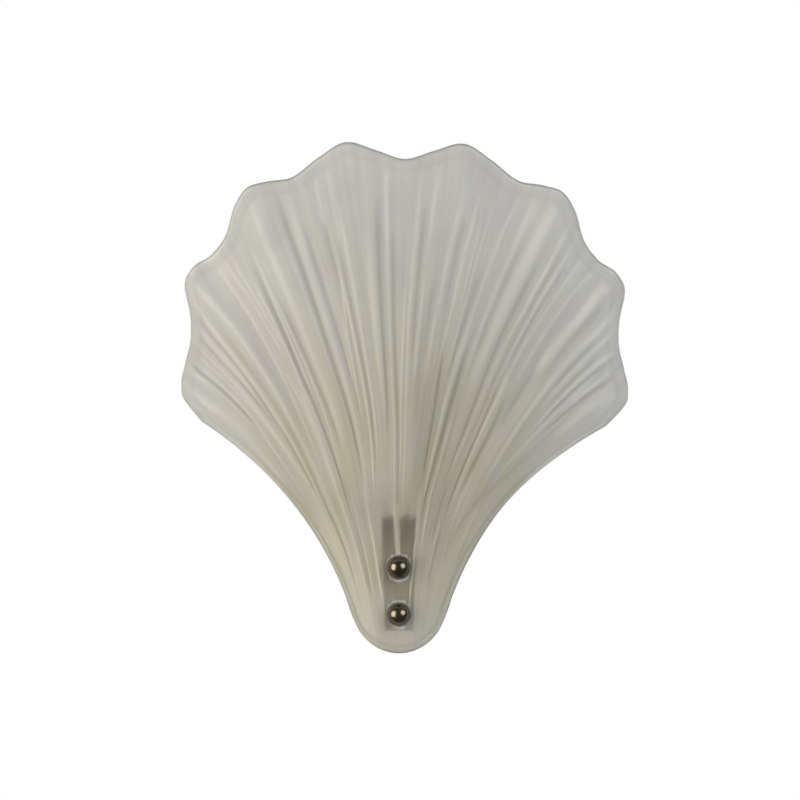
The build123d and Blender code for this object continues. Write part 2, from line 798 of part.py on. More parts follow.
def make_earth_wire():
    """From the block's third way, round and up into the barrel of the earth tag."""
    turn_z = arm_top - earth_loop_drop
    depth = barrel_depth()
    end = -earth_drop - earth_tag_ring / 2 - 1.5
    return lead([
        (way_spacing, -way_depth, block_bottom + 5), (way_spacing, -way_depth, turn_z),
        (earth_x, -depth, turn_z), (earth_x, -depth, end),
    ])


# ---- earth screw, tag and grommet ---------------------------------------------------------------


def barrel_depth():
    """The tag's barrel lies with its back on the tag's plane."""
    return plate_depth + earth_barrel / 2


def make_earth_tag():
    """Ring tag with a crimped barrel below it."""
    z = -earth_drop
    tag = rod(earth_tag_ring, earth_x, z, plate_depth, plate_depth + earth_tag_sheet)
    barrel_top = z - earth_tag_ring / 2 - 1
    half = earth_barrel / 2
    tag += slab(earth_x - half + 0.3, earth_x + half - 0.3, plate_depth, plate_depth + earth_tag_sheet,
                barrel_top - earth_barrel_length / 2, z - 1)
    stand = Pos(earth_x, -barrel_depth(), barrel_top - earth_barrel_length)
    tag += stand * Cylinder(half, earth_barrel_length, align=BOTTOM)
    tag -= stand * Cylinder(lead_diameter / 2 + fit_clearance, earth_barrel_length, align=BOTTOM)
    return tag - rod(earth_screw + 2 * fit_clearance, earth_x, z, 0, plate_depth + 3)


def make_earth_star_washer():
    """Toothed washer between tag and screw head."""
    near = plate_depth + earth_tag_sheet
    z = -earth_drop
    bore = earth_screw + 2 * fit_clearance
    washer = ring(earth_screw_head, bore, earth_x, z, near, near + star_washer_thickness)
    for tooth in range(8):
        turn = math.radians(tooth * 45)
        reach = earth_screw_head / 2
        notch = rod(1.0, earth_x + reach * math.cos(turn), z + reach * math.sin(turn), near - 1, near + 2)
        washer -= notch
    return washer


def make_earth_screw():
    """Cheese-head screw into the plate, slotted."""
    under = plate_depth + earth_tag_sheet + star_washer_thickness
    z = -earth_drop
    screw = rod(earth_screw, earth_x, z, plate_depth - plate_sheet - 2, under + 0.5)
    top = under + earth_screw_head_height
    screw += rod(earth_screw_head, earth_x, z, under, top)
    half = earth_screw_head / 2
    return screw - slab(earth_x - half, earth_x + half, top - 1, top, z - 0.45, z + 0.45)


def make_cable_grommet():
    """Rubber grommet of the cable inlet, one flange on each side of the plate."""
    back = plate_depth - plate_sheet
    z = -grommet_drop
    grommet = rod(grommet_flange, grommet_x, z, back - grommet_flange_thickness, back)
    grommet += rod(grommet_neck, grommet_x, z, back - 0.5, plate_depth + 0.5)
    grommet += rod(grommet_flange, grommet_x, z, plate_depth, plate_depth + grommet_flange_thickness)
    return grommet - rod(grommet_bore, grommet_x, z, 0, plate_depth + grommet_flange_thickness + 1)


# ---- every node ---------------------------------------------------------------------------------

NODES = {
    "wall_plate": make_wall_plate,
    "arm_bracket": make_arm_bracket,
    "bracket_rivets": make_bracket_rivets,
    "glass_shell": make_glass_shell,
    "lower_stud": lambda: make_stud(lower_stud_z),
    "upper_stud": lambda: make_stud(upper_stud_z),
    "inner_washers": make_inner_washers,
    "glass_sleeves": make_glass_sleeves,
    "lower_outer_washer": lambda: make_outer_washer(lower_stud_z),
    "upper_outer_washer": lambda: make_outer_washer(upper_stud_z),
    "lower_ball_nut": lambda: make_ball_nut(lower_stud_z),
    "upper_ball_nut": lambda: make_ball_nut(upper_stud_z),
    "lampholder_nipple": make_lampholder_nipple,
    "nipple_washer": make_nipple_washer,
    "nipple_nut": make_nipple_nut,
    "lampholder_cap": make_lampholder_cap,
    "lampholder_core": make_lampholder_core,
    "core_terminal_screws": make_core_terminal_screws,
    "lampholder_skirt": make_lampholder_skirt,
    "lampholder_liner": make_lampholder_liner,
    "centre_contact": make_centre_contact,
    "bulb_tip": make_bulb_tip,
    "bulb_insulator": make_bulb_insulator,
    "bulb_screw_cap": make_bulb_cap,
    "bulb_envelope": make_bulb_envelope,
    "bulb_stem": make_bulb_stem,
    "bulb_filament": make_bulb_filament,
    "terminal_block": make_terminal_block,
    "terminal_inserts": make_terminal_inserts,
    "terminal_screws": make_terminal_screws,
    "terminal_block_screw": make_terminal_block_screw,
    "live_wire": lambda: lamp_lead(-1, way_places()[0]),
    "neutral_wire": lambda: lamp_lead(1, way_places()[1]),
    "earth_wire": make_earth_wire,
    "earth_tag": make_earth_tag,
    "earth_star_washer": make_earth_star_washer,
    "earth_screw": make_earth_screw,
    "cable_grommet": make_cable_grommet,
}


def main():
    """Write each node's solids to parts/."""
    os.makedirs("parts", exist_ok=True)
    for name, make in NODES.items():
        made = make()
        pieces = made if isinstance(made, list) else [made]
        solids = [solid for piece in pieces for solid in piece.solids()]
        export_step(Compound(label=name, children=solids), f"parts/{name}.step")


main()
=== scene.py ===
"""Looks of the shell wall sconce: ribbed frosted glass, ball nuts, lampholder, lamp and all finishes.

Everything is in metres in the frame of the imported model: the origin lies on the wall, halfway between
the two wall screws, +X points right, +Z up, and the room is towards -Y. A "depth" is a distance from
the wall, so y is minus the depth, and a "rise" is a height above the arm that carries the lampholder.
"""

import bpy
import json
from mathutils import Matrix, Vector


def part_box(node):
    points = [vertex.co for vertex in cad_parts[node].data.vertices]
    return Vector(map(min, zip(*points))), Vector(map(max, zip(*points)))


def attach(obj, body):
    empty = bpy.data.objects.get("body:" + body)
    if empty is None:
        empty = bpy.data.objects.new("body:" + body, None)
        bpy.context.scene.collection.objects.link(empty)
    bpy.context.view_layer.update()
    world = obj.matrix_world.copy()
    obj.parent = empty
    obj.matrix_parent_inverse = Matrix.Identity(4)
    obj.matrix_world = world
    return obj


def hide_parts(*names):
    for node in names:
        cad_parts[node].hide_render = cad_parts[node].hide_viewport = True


bl_info = {
    "name": "Shell wall sconce",
    "version": (1, 0, 0),
    "blender": (4, 5, 0),
    "location": "3D View > Sidebar > Sconce",
    "description": "Dresses the shell wall sconce and sets up its stage",
    "category": "Object",
}

import json
import math

import bmesh
import bpy
import numpy as np
from bpy.props import FloatProperty, FloatVectorProperty, PointerProperty
from bpy.types import Operator, Panel, PropertyGroup

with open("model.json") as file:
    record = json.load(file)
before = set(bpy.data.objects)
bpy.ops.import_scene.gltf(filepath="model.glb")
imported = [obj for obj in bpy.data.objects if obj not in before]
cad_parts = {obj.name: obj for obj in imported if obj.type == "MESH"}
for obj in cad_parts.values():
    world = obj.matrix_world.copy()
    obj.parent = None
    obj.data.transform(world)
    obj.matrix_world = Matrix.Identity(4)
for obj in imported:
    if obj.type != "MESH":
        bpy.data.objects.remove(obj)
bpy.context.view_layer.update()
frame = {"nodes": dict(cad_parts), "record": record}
SLOTS = {part["node"]: part["material_slot"] for part in frame["record"]["subparts"]}

MM = 0.001


# ---- what a user would change -------------------------------------------------------------------


def length(name, description, default):
    """A length in metres."""
    return FloatProperty(name=name, description=description, default=default, min=0.0,
                         unit="LENGTH", subtype="DISTANCE", precision=5)


def angle(name, description, degrees):
    """An angle, given in degrees and kept in radians."""
    return FloatProperty(name=name, description=description, default=math.radians(degrees),
                         unit="ROTATION", subtype="ANGLE")


def share(name, description, default):
    """A plain number, mostly from 0 to 1."""
    return FloatProperty(name=name, description=description, default=default, precision=3)


def colour(name, description, default):
    """A colour without alpha, scene linear."""
    return FloatVectorProperty(name=name, description=description, default=default, size=3,
                               min=0.0, max=1.0, subtype="COLOR")


class GlassSettings(PropertyGroup):
    """The shell of ribbed glass."""

    fan_radius: length("Fan radius", "From the fan's pivot to its tallest lobe", 0.249)
    pivot_height: length("Pivot height", "From the tongue's tip up to the fan's pivot", 0.053)
    tongue_half_width: length("Tongue half width", "Half the width of the tongue's round end", 0.02945)
    tongue_height: length("Tongue height", "Height of the tongue's round end", 0.034)
    tongue_turn: angle("Tongue turn", "How far the tongue's end turns to each side", 78.8)
    wall: length("Wall", "Thickness of the glass", 0.0055)
    drop: length("Drop", "From the wall screws down to the tongue's tip", 0.111)
    front_depth: length("Front depth", "From the wall to the front of the tongue", 0.05295)
    lean: length("Lean", "How far the fan leans to the right", 0.0034)
    lean_start: length("Lean start", "Height where the lean begins", 0.080)
    lean_rise: length("Lean rise", "Height over which the lean grows", 0.075)
    reach: length("Reach", "How far the rim stands forward of the tongue", 0.080)
    belly_start: length("Belly start", "Height where the shell starts to stand forward", 0.062)
    belly_rise: length("Belly rise", "Height over which it does so", 0.268)
    flank_setback: length("Flank setback", "How far the flanks lie behind the tongue's face", 0.00625)
    rim_setback: length("Rim setback", "How much further back they lie at the rim", 0.022)
    lobe_relief: length("Lobe relief", "Height of a lobe's crest over its valleys", 0.004)
    edge_radius: length("Edge radius", "How far in from its edges the glass starts to round off", 0.0028)
    hole: length("Hole", "Diameter of the two drilled holes", 0.007)
    seat: length("Seat", "Diameter of the ground seats round the holes", 0.0148)
    seat_grind: length("Seat grind", "Depth of the ground seats", 0.00015)
    tint: colour("Tint", "Colour of the fan's glass", (0.755, 0.749, 0.700))
    # Painted shade: the tongue's glass is painted darker and yellower for the parts behind it; the wall is
    # even
    low_shaded_tint: colour("Low tint", "Colour of the tongue's glass, which is thicker", (0.59, 0.560, 0.427))
    foot_tint: colour("Foot tint", "Colour of the glass round the tongue's end", (0.64, 0.615, 0.50))
    cloud_tint: colour("Cloud tint", "Colour of its cloudy patches", (0.64, 0.61, 0.595))
    streak: colour("Streak", "What fine streaks up the ribs multiply the colour with",
                   (0.915, 0.925, 0.965))
    # Painted shade: a dark greenish grey outline along the edges, for the light that the rounded edges bend
    edge_tint: colour("Edge tint", "Colour of the glass along its edges", (0.40, 0.41, 0.37))
    edge_tint_width: length("Edge tint width", "How far in the edges' colour reaches", 0.0011)
    # Painted highlight and shade: how much paler the ribs are painted, and the grooves, edge grooves
    # included, darker
    rib_light_and_shade: share("Rib shade", "How much paler ribs are than the glass, and grooves darker", 0.19)
    front_roughness: share("Front roughness", "How matt the front is", 0.28)
    back_roughness: share("Back roughness", "How matt the back is", 0.34)
    clearness: share("Clearness", "How much light passes straight into the glass", 0.32)
    # Painted light: how much passes where the glass is painted paler, halfway up the left side and near the
    # right flank
    painted_light_clearness: share("Painted light clearness", "How much passes where it is etched more", 0.135)
    seat_clearness: share("Seat clearness", "How much passes where the strap lies close behind", 0.72)
    seat_half_width: length("Seat half width", "Half the width of the clearer glass", 0.0088)
    seat_top: length("Seat top", "Height of the clearer glass over the tongue's tip", 0.0790)


class FixingSettings(PropertyGroup):
    """Studs, washers and ball nuts."""

    lower_stud_z: FloatProperty(name="Lower stud", description="Height of the lower stud",
                                default=-0.0878, unit="LENGTH", subtype="DISTANCE", precision=5)
    upper_stud_z: FloatProperty(name="Upper stud", description="Height of the upper stud",
                                default=-0.0602, unit="LENGTH", subtype="DISTANCE", precision=5)
    ball: length("Ball", "Diameter of a ball nut", 0.0126)
    foot: length("Foot", "Diameter of its flat foot", 0.0094)
    nut_base: length("Nut base", "Depth of the foot", 0.0540)
    bore: length("Bore", "Diameter of the threaded bore", 0.0040)
    bore_depth: length("Bore depth", "Depth of the bore", 0.0080)
    stud: length("Stud", "Diameter of a stud's thread", 0.0038)
    flange: length("Flange", "Height of a stud's flange", 0.0012)
    flange_width: length("Flange width", "Diameter of a stud's flange", 0.0080)
    pitch: length("Pitch", "Pitch of stud and nut", 0.0007)
    nickel: colour("Nickel", "Colour of the dark polished nickel", (0.31, 0.27, 0.205))
    # Painted shade: how much the nickel is darkened round a nut's foot, dimming the reflection at the ball's
    # rim
    foot_shade: share("Foot shade", "How much darker the nickel is round the foot of a nut", 0.62)


class LampSettings(PropertyGroup):
    """Lampholder and lamp."""

    depth: length("Depth", "From the wall to the lamp's axis", 0.030)
    nipple_bore: length("Nipple bore", "Bore of the threaded nipple", 0.0070)
    nipple_pitch: length("Nipple pitch", "Pitch of its thread", 0.0010)
    neck: length("Neck", "Diameter of the cap's neck", 0.0160)
    cap_floor: length("Cap floor", "Height of the cap's floor over its foot", 0.0060)
    wall: length("Wall", "Wall of cap and skirt", 0.0020)
    lip_bore: length("Lip bore", "Bore of the skirt's lip", 0.0151)
    liner_bore: length("Liner bore", "Bore of the brass liner", 0.0140)
    liner_wall: length("Liner wall", "Thickness of the liner", 0.0005)
    lamp_pitch: length("Lamp pitch", "Pitch of the lamp's thread", 0.00282)
    lamp_thread: length("Lamp thread", "Depth of the lamp's thread", 0.0004)
    cap_wall: length("Cap wall", "Thickness of the lamp's screw cap", 0.0004)
    bulb_neck: length("Bulb neck", "Diameter of the bulb's neck", 0.0120)
    neck_length: length("Neck length", "From the neck's foot in the cap to the shoulder", 0.0100)
    shoulder: length("Shoulder", "Height of the bulb's shoulder", 0.0160)
    bulb_wall: length("Bulb wall", "Thickness of the bulb's glass", 0.0009)
    stem: length("Stem", "Diameter of the inner stem", 0.0044)


class StageSettings(PropertyGroup):
    """Camera, lamps and surroundings."""

    camera_distance: length("Camera distance", "From the wall to the camera", 6.0)
    camera_x: FloatProperty(name="Camera X", description="Sideways place of the camera",
                            default=0.00059, unit="LENGTH", subtype="DISTANCE", precision=5)
    camera_z: FloatProperty(name="Camera Z", description="Height of the camera", default=0.03865,
                            unit="LENGTH", subtype="DISTANCE", precision=5)
    view_width: length("View width", "Width of the picture at the glass", 0.4704)
    view_depth: length("View depth", "Depth at which the picture has that width", 0.075)
    lamp_distance: length("Lamp distance", "From the shell to each soft lamp", 1.5)
    left_size: length("Left size", "Width of the left lamp", 1.5)
    right_size: length("Right size", "Width of the right lamp", 1.2)
    left_turn: angle("Left turn", "How far the left lamp stands to the side", 63.0)
    right_turn: angle("Right turn", "How far the right lamp stands to the side", 46.0)
    left_rise: angle("Left rise", "How high the left lamp stands", 3.0)
    right_rise: angle("Right rise", "How high the right lamp stands", 17.0)
    left_power: share("Left power", "Watts of the left lamp", 16.5)
    right_power: share("Right power", "Watts of the right lamp", 9.8)
    left_colour: colour("Left colour", "Colour of the left lamp", (1.0, 0.94, 0.83))
    right_colour: colour("Right colour", "Colour of the right lamp", (0.92, 0.955, 1.0))
    front_ambient: share("Front ambient", "Light from the room's side on matt surfaces", 0.34)
    back_ambient: share("Back ambient", "Light from the wall's side on matt surfaces", 0.65)
    front_dimness: share("Front dimness", "How bright the room looks in polished metal", 0.06)
    floor_drop: length("Floor drop", "From the wall screws down to the floor", 1.65)
    floor_size: length("Floor size", "Width of the floor", 3.6)
    floor_colour: colour("Floor colour", "Colour of the floor", (0.86, 0.86, 0.86))


# ---- the glass shell's shape --------------------------------------------------------------------

# The rim of the right half of the fan, as angle from the upright in degrees and share of the radius
RIM = (
    (0.0, 0.953), (4.0, 0.975), (8.0, 1.0), (12.0, 0.975), (16.5, 0.945), (20.0, 0.954),
    (23.0, 0.956), (25.5, 0.930), (28.5, 0.881), (32.0, 0.857), (36.0, 0.855), (38.5, 0.836),
    (41.0, 0.775), (43.5, 0.737), (48.0, 0.701), (52.0, 0.674), (54.0, 0.648), (55.5, 0.585),
)
# Valleys fall on whole counts of lobes and crests halfway, at these shares of the half fan
LOBES = ((0.0, 0.0), (0.144, 0.5), (0.297, 1.0), (0.414, 1.5), (0.595, 2.0), (0.667, 2.5),
         (0.80, 3.0), (0.928, 3.5), (1.0, 3.8))
# Directions and handle lengths of the curves that run from the tongue to the rim
FLANK_START = math.radians(19.8)
FLANK_END = math.radians(59.0)
START_HANDLE = 0.25
END_HANDLE = 0.48
# Ribs draw in towards the middle lower down: by this share at the tongue, falling off with this power
DRAW_IN = 0.32
DRAW_IN_POWER = 2.2
# Share of the turn round the tongue's end that grows evenly across; the rest grows with the fifth power
EVEN_SPREAD = 0.78
# The tongue's face is flat over this share of its half width, and the flat runs out this far up
FLAT_SHARE = 0.3
FLAT_END = 0.45
# The wall's direction turns straight forward from here to the flanks and to the rim
FORWARD_FROM_SIDE = 0.84
FORWARD_FROM_T = 0.9
# Lobes grow from the first to the full height over this stretch of the way up
LOBE_START = 0.2
LOBE_RISE = 0.75

# Ribs (height above 0) and grooves of the front face: height in mm, half width as a share of the half
# fan, then places along the crest as side and t, from the rim down
RIBS = (
    (0.40, 0.018, (-0.930, 0.95), (-0.905, 0.88), (-0.895, 0.80), (-0.900, 0.70), (-0.905, 0.62)),
    (0.35, 0.005, (-0.870, 0.97), (-0.853, 0.92), (-0.849, 0.85), (-0.849, 0.79)),
    (-0.45, 0.006, (-0.855, 0.98), (-0.842, 0.88), (-0.836, 0.77)),
    (0.42, 0.007, (-0.838, 0.97), (-0.830, 0.90), (-0.827, 0.80), (-0.838, 0.70), (-0.840, 0.60)),
    (0.35, 0.005, (-0.815, 0.97), (-0.808, 0.90), (-0.802, 0.82)),
    (0.35, 0.005, (-0.795, 0.97), (-0.788, 0.85), (-0.786, 0.80)),
    (0.45, 0.012, (-0.800, 0.82), (-0.790, 0.72), (-0.776, 0.60), (-0.760, 0.52), (-0.750, 0.45)),
    (-0.35, 0.006, (-0.768, 0.97), (-0.764, 0.85), (-0.762, 0.74)),
    (0.35, 0.009, (-0.748, 0.97), (-0.745, 0.88), (-0.742, 0.79)),
    (-0.35, 0.006, (-0.728, 0.97), (-0.727, 0.87), (-0.735, 0.78), (-0.745, 0.70)),
    (-0.30, 0.010, (-0.740, 0.66), (-0.742, 0.58), (-0.735, 0.48)),
    (0.45, 0.009, (-0.705, 0.97), (-0.710, 0.88), (-0.714, 0.80), (-0.720, 0.70), (-0.712, 0.48)),
    (-0.40, 0.012, (-0.686, 0.90), (-0.688, 0.60), (-0.697, 0.42), (-0.690, 0.28)),
    (0.55, 0.010, (-0.672, 0.98), (-0.650, 0.92), (-0.640, 0.85), (-0.645, 0.75), (-0.656, 0.62)),
    (0.25, 0.020, (-0.650, 0.58), (-0.648, 0.45), (-0.640, 0.30)),
    (0.40, 0.006, (-0.585, 0.97), (-0.578, 0.88), (-0.590, 0.76), (-0.605, 0.66), (-0.613, 0.56)),
    (0.35, 0.006, (-0.555, 0.97), (-0.546, 0.88), (-0.545, 0.79)),
    (0.25, 0.004, (-0.535, 0.96), (-0.527, 0.88), (-0.524, 0.80)),
    (0.30, 0.006, (-0.572, 0.74), (-0.568, 0.60)),
    (0.45, 0.015, (-0.550, 0.70), (-0.552, 0.60), (-0.560, 0.50), (-0.552, 0.40), (-0.535, 0.25)),
    (0.40, 0.004, (-0.508, 0.90), (-0.516, 0.78), (-0.530, 0.70)),
    (-0.60, 0.009, (-0.488, 0.90), (-0.500, 0.80), (-0.513, 0.70), (-0.514, 0.58), (-0.498, 0.42)),
    (0.45, 0.005, (-0.478, 0.88), (-0.488, 0.78), (-0.499, 0.69)),
    (0.40, 0.006, (-0.470, 0.92), (-0.471, 0.80), (-0.472, 0.68), (-0.475, 0.55)),
    (-0.30, 0.030, (-0.480, 0.44), (-0.475, 0.30), (-0.470, 0.18)),
    (-0.35, 0.008, (-0.455, 0.82), (-0.451, 0.65), (-0.438, 0.54)),
    (0.55, 0.016, (-0.415, 0.98), (-0.420, 0.85), (-0.420, 0.75), (-0.415, 0.65), (-0.408, 0.56)),
    (0.25, 0.007, (-0.366, 0.95), (-0.362, 0.80), (-0.360, 0.70)),
    (-0.55, 0.007, (-0.346, 0.96), (-0.343, 0.85), (-0.343, 0.70), (-0.335, 0.60), (-0.322, 0.49)),
    (0.50, 0.011, (-0.320, 0.97), (-0.320, 0.85), (-0.318, 0.75), (-0.310, 0.65), (-0.292, 0.46)),
    (0.35, 0.016, (-0.310, 0.44), (-0.308, 0.32), (-0.300, 0.15)),
    (-0.30, 0.006, (-0.302, 0.92), (-0.296, 0.80), (-0.285, 0.70), (-0.273, 0.58)),
    (0.22, 0.004, (-0.284, 0.90), (-0.278, 0.80)),
    (0.25, 0.004, (-0.255, 0.76), (-0.280, 0.64)),
    (0.38, 0.005, (-0.222, 0.84), (-0.250, 0.73), (-0.266, 0.60)),
    (-0.28, 0.006, (-0.242, 0.91), (-0.236, 0.81)),
    (0.30, 0.006, (-0.235, 0.98), (-0.240, 0.92)),
    (0.40, 0.006, (-0.224, 0.80), (-0.224, 0.60), (-0.221, 0.50), (-0.230, 0.43)),
    (-0.32, 0.006, (-0.212, 0.84), (-0.206, 0.65), (-0.201, 0.49)),
    (0.25, 0.007, (-0.200, 0.98), (-0.205, 0.88)),
    (0.52, 0.008, (-0.188, 0.91), (-0.186, 0.80), (-0.187, 0.70), (-0.185, 0.60), (-0.180, 0.51)),
    (0.32, 0.013, (-0.112, 0.87), (-0.118, 0.75), (-0.120, 0.63)),
    (-0.50, 0.007, (-0.078, 0.91), (-0.087, 0.78), (-0.090, 0.68), (-0.096, 0.56)),
    (0.44, 0.007, (-0.045, 0.99), (-0.052, 0.90), (-0.058, 0.80), (-0.062, 0.60), (-0.040, 0.42)),
    (-0.42, 0.008, (-0.035, 0.89), (-0.042, 0.75), (-0.040, 0.60), (-0.025, 0.50), (-0.010, 0.41)),
    (0.42, 0.005, (0.008, 0.84), (-0.002, 0.74), (-0.013, 0.66), (-0.018, 0.59), (-0.006, 0.49)),
    (0.38, 0.007, (0.046, 0.98), (0.036, 0.90), (0.018, 0.76), (0.009, 0.64), (0.010, 0.55), (0.034, 0.40)),
    (-0.35, 0.007, (0.058, 0.92), (0.045, 0.80), (0.036, 0.70)),
    (0.28, 0.006, (0.095, 0.98), (0.080, 0.92), (0.070, 0.84)),
    (0.60, 0.008, (0.069, 0.81), (0.060, 0.73), (0.051, 0.66)),
    (-0.25, 0.010, (0.100, 0.80), (0.085, 0.68)),
    (0.46, 0.011, (0.165, 0.93), (0.150, 0.87), (0.135, 0.80), (0.120, 0.73), (0.104, 0.65)),
    (-0.25, 0.008, (0.178, 0.90), (0.165, 0.78)),
    (0.40, 0.006, (0.206, 0.94), (0.197, 0.85), (0.190, 0.76), (0.175, 0.68), (0.160, 0.61)),
    (0.25, 0.004, (0.228, 0.91), (0.219, 0.77)),
    (0.32, 0.005, (0.250, 0.95), (0.243, 0.88), (0.235, 0.78), (0.225, 0.70)),
    (-0.52, 0.010, (0.178, 0.69), (0.185, 0.56), (0.192, 0.45)),
    (-0.30, 0.007, (0.262, 0.84), (0.248, 0.75), (0.228, 0.66)),
    (0.40, 0.006, (0.310, 0.97), (0.295, 0.92), (0.283, 0.84), (0.268, 0.74)),
    (0.62, 0.012, (0.272, 0.75), (0.258, 0.68), (0.243, 0.60), (0.240, 0.52), (0.238, 0.43)),
    (-0.55, 0.011, (0.285, 0.71), (0.275, 0.60), (0.266, 0.50), (0.246, 0.36)),
    (0.35, 0.009, (0.350, 0.97), (0.340, 0.90), (0.325, 0.80), (0.308, 0.68)),
    (0.45, 0.011, (0.302, 0.58), (0.305, 0.48), (0.296, 0.40), (0.290, 0.30)),
    (0.35, 0.018, (0.200, 0.40), (0.212, 0.30), (0.205, 0.15)),
    (-0.25, 0.010, (0.365, 0.93), (0.345, 0.82), (0.332, 0.72)),
    (0.52, 0.017, (0.415, 0.98), (0.395, 0.93), (0.380, 0.85), (0.370, 0.77), (0.353, 0.68)),
    (-0.42, 0.009, (0.425, 0.88), (0.402, 0.76), (0.395, 0.65), (0.390, 0.48)),
    (0.35, 0.013, (0.428, 0.73), (0.420, 0.60), (0.414, 0.49)),
    (0.42, 0.006, (0.466, 0.97), (0.458, 0.90), (0.450, 0.82), (0.433, 0.74)),
    (-0.32, 0.007, (0.478, 0.93), (0.466, 0.82), (0.455, 0.70), (0.452, 0.58)),
    (0.38, 0.005, (0.497, 0.97), (0.490, 0.90), (0.482, 0.81), (0.477, 0.73)),
    (-0.30, 0.005, (0.508, 0.94), (0.500, 0.87), (0.491, 0.77)),
    (0.38, 0.006, (0.542, 0.98), (0.526, 0.90), (0.515, 0.81), (0.509, 0.73)),
    (-0.45, 0.009, (0.488, 0.68), (0.494, 0.52), (0.490, 0.40)),
    (0.62, 0.014, (0.510, 0.71), (0.512, 0.62), (0.519, 0.54), (0.527, 0.43)),
    (-0.55, 0.011, (0.548, 0.67), (0.560, 0.58), (0.560, 0.48)),
    (0.40, 0.007, (0.586, 0.98), (0.570, 0.92), (0.560, 0.84), (0.556, 0.75)),
    (-0.30, 0.010, (0.606, 0.77), (0.596, 0.67)),
    (0.30, 0.018, (0.595, 0.63), (0.600, 0.52), (0.590, 0.38)),
    (0.52, 0.011, (0.656, 0.98), (0.636, 0.95), (0.621, 0.87), (0.610, 0.78)),
    (-0.42, 0.010, (0.662, 0.94), (0.648, 0.86), (0.643, 0.76)),
    (0.52, 0.012, (0.715, 0.97), (0.700, 0.90), (0.685, 0.84), (0.678, 0.74), (0.676, 0.64), (0.696, 0.52)),
    (-0.30, 0.006, (0.724, 0.92), (0.713, 0.79)),
    (0.42, 0.007, (0.752, 0.98), (0.740, 0.92), (0.732, 0.85), (0.726, 0.76)),
    (-0.36, 0.006, (0.768, 0.93), (0.758, 0.87), (0.748, 0.79)),
    (0.46, 0.008, (0.800, 0.98), (0.785, 0.93), (0.775, 0.85), (0.766, 0.72)),
    (-0.40, 0.006, (0.808, 0.95), (0.791, 0.86), (0.780, 0.76)),
    (0.36, 0.009, (0.812, 0.91), (0.805, 0.80), (0.796, 0.70), (0.778, 0.58)),
    (0.34, 0.006, (0.842, 0.97), (0.830, 0.90), (0.818, 0.82)),
    (-0.42, 0.006, (0.866, 0.97), (0.845, 0.90), (0.836, 0.82), (0.828, 0.75)),
    (0.30, 0.004, (0.843, 0.82), (0.838, 0.74)),
    (-0.24, 0.020, (0.860, 0.84), (0.854, 0.68), (0.832, 0.60), (0.800, 0.53), (0.740, 0.45),
     (0.640, 0.31)),
    (0.34, 0.020, (0.905, 0.96), (0.886, 0.88), (0.880, 0.78)),
    (0.25, 0.025, (0.770, 0.44), (0.760, 0.30)),
    (-0.30, 0.020, (0.415, 0.42), (0.410, 0.30)),
    (0.28, 0.018, (0.450, 0.34), (0.440, 0.22)),
    (-0.25, 0.014, (0.475, 0.32), (0.470, 0.18)),
    (0.50, 0.030, (-0.030, 0.38), (-0.022, 0.31), (-0.010, 0.23)),
    (-0.20, 0.030, (-0.130, 0.38), (-0.120, 0.28)),
    (-0.20, 0.030, (0.085, 0.38), (0.090, 0.28)),
)
# No rib stands out further than this, and no groove is deeper, in metres
RIB_LIMIT = 0.0006
# A rib swells and fades over these shares of its length: how far past its end, and over what stretch
RIB_SWELL = (0.25, 0.40)
RIB_FADE = (0.12, 0.25)
# How much bolder ribs are at the tongue, and how far up this runs out
BOLDER = 0.6
BOLDER_END = 0.45
# Ribs end before the rim's smooth lip, between these shares of the way up
LIP = (0.968, 0.988)
# A shallow groove follows flanks and tongue, and another follows the rim where the ribs end: distance
# from the edge, half width and depth, all in metres
EDGE_GROOVE = (0.0040, 0.0010, 0.00032)
RIM_GROOVE = (0.0070, 0.0012, 0.00014)

# The area that is painted paler as painted light, where less light passes into the glass, in metres,
# heights being over the tongue's tip. It fades in upwards from its foot and out above its top line, which
# climbs on the left beyond the bend
PAINTED_LIGHT_FOOT = 0.082
PAINTED_LIGHT_RISE = 0.030
PAINTED_LIGHT_TOP_LEFT = 0.198
PAINTED_LIGHT_TOP_RIGHT = 0.186
PAINTED_LIGHT_CLIMB = 0.4
PAINTED_LIGHT_BEND = 0.020
PAINTED_LIGHT_FADE = 0.045
# On the left it ends at the x and over the width of the first pair, in metres. It is weaker towards the
# left flank, and on the right it is only near the flank: strength, then side and width as shares
PAINTED_LIGHT_EDGE = (0.004, 0.007)
PAINTED_LIGHT_LEFT_FLANK = (0.75, 0.6, 0.35)
PAINTED_LIGHT_RIGHT_FLANK = (0.75, 0.45, 0.25)
# The clearer band over the strap: widths of its soft edges, the heights over which it gains strength
# from the first share to the second, and how much less clear the ribs are, which paints them paler
# over the strap as painted highlights
SEAT_EDGE = 0.003
SEAT_TOP_EDGE = 0.004
SEAT_HEIGHTS = (0.012, 0.060)
SEAT_SHARES = (0.35, 1.0)
SEAT_RIB_LOSS = 0.85
SEAT_RIB_GAIN = 1.4

# Columns and rows of the glass between its round edges, and rows round each edge
SIDE_STEPS = 500
ROW_STEPS = 84
EDGE_STEPS = 6
# How closely columns stand: where no rib lies, at most, and what a rib adds
PLAIN_DENSITY = 0.8
HIGHEST_DENSITY = 2.6
RIB_DENSITY = 0.0055
# How far to each side of a rib they stand closer: this far, and so many of its half widths more
RIB_SPREAD = (0.008, 1.5)
# How closely rows stand at both ends beyond 1 elsewhere: what is added, where, and half the width
FOOT_ROWS = (2.2, 0.02, 0.035)
RIM_ROWS = (2.6, 0.965, 0.035)
# Lengths in metres of the way across from the middle to a flank, and of the ways up at foot and rim, with
# which the radius of the round edges becomes a share
FLANK_REACH = 0.18
FOOT_REACH = 0.21
RIM_REACH = 0.40
# The first column or row after a round edge lies at this many times the reach of that edge
FLANK_GAP = 1.25
FOOT_GAP = 1.3
RIM_GAP = 1.4


def smooth(value):
    """Rises from 0 to 1 with level ends: 3s^2 - 2s^3."""
    value = np.clip(value, 0, 1)
    return value * value * (3 - 2 * value)


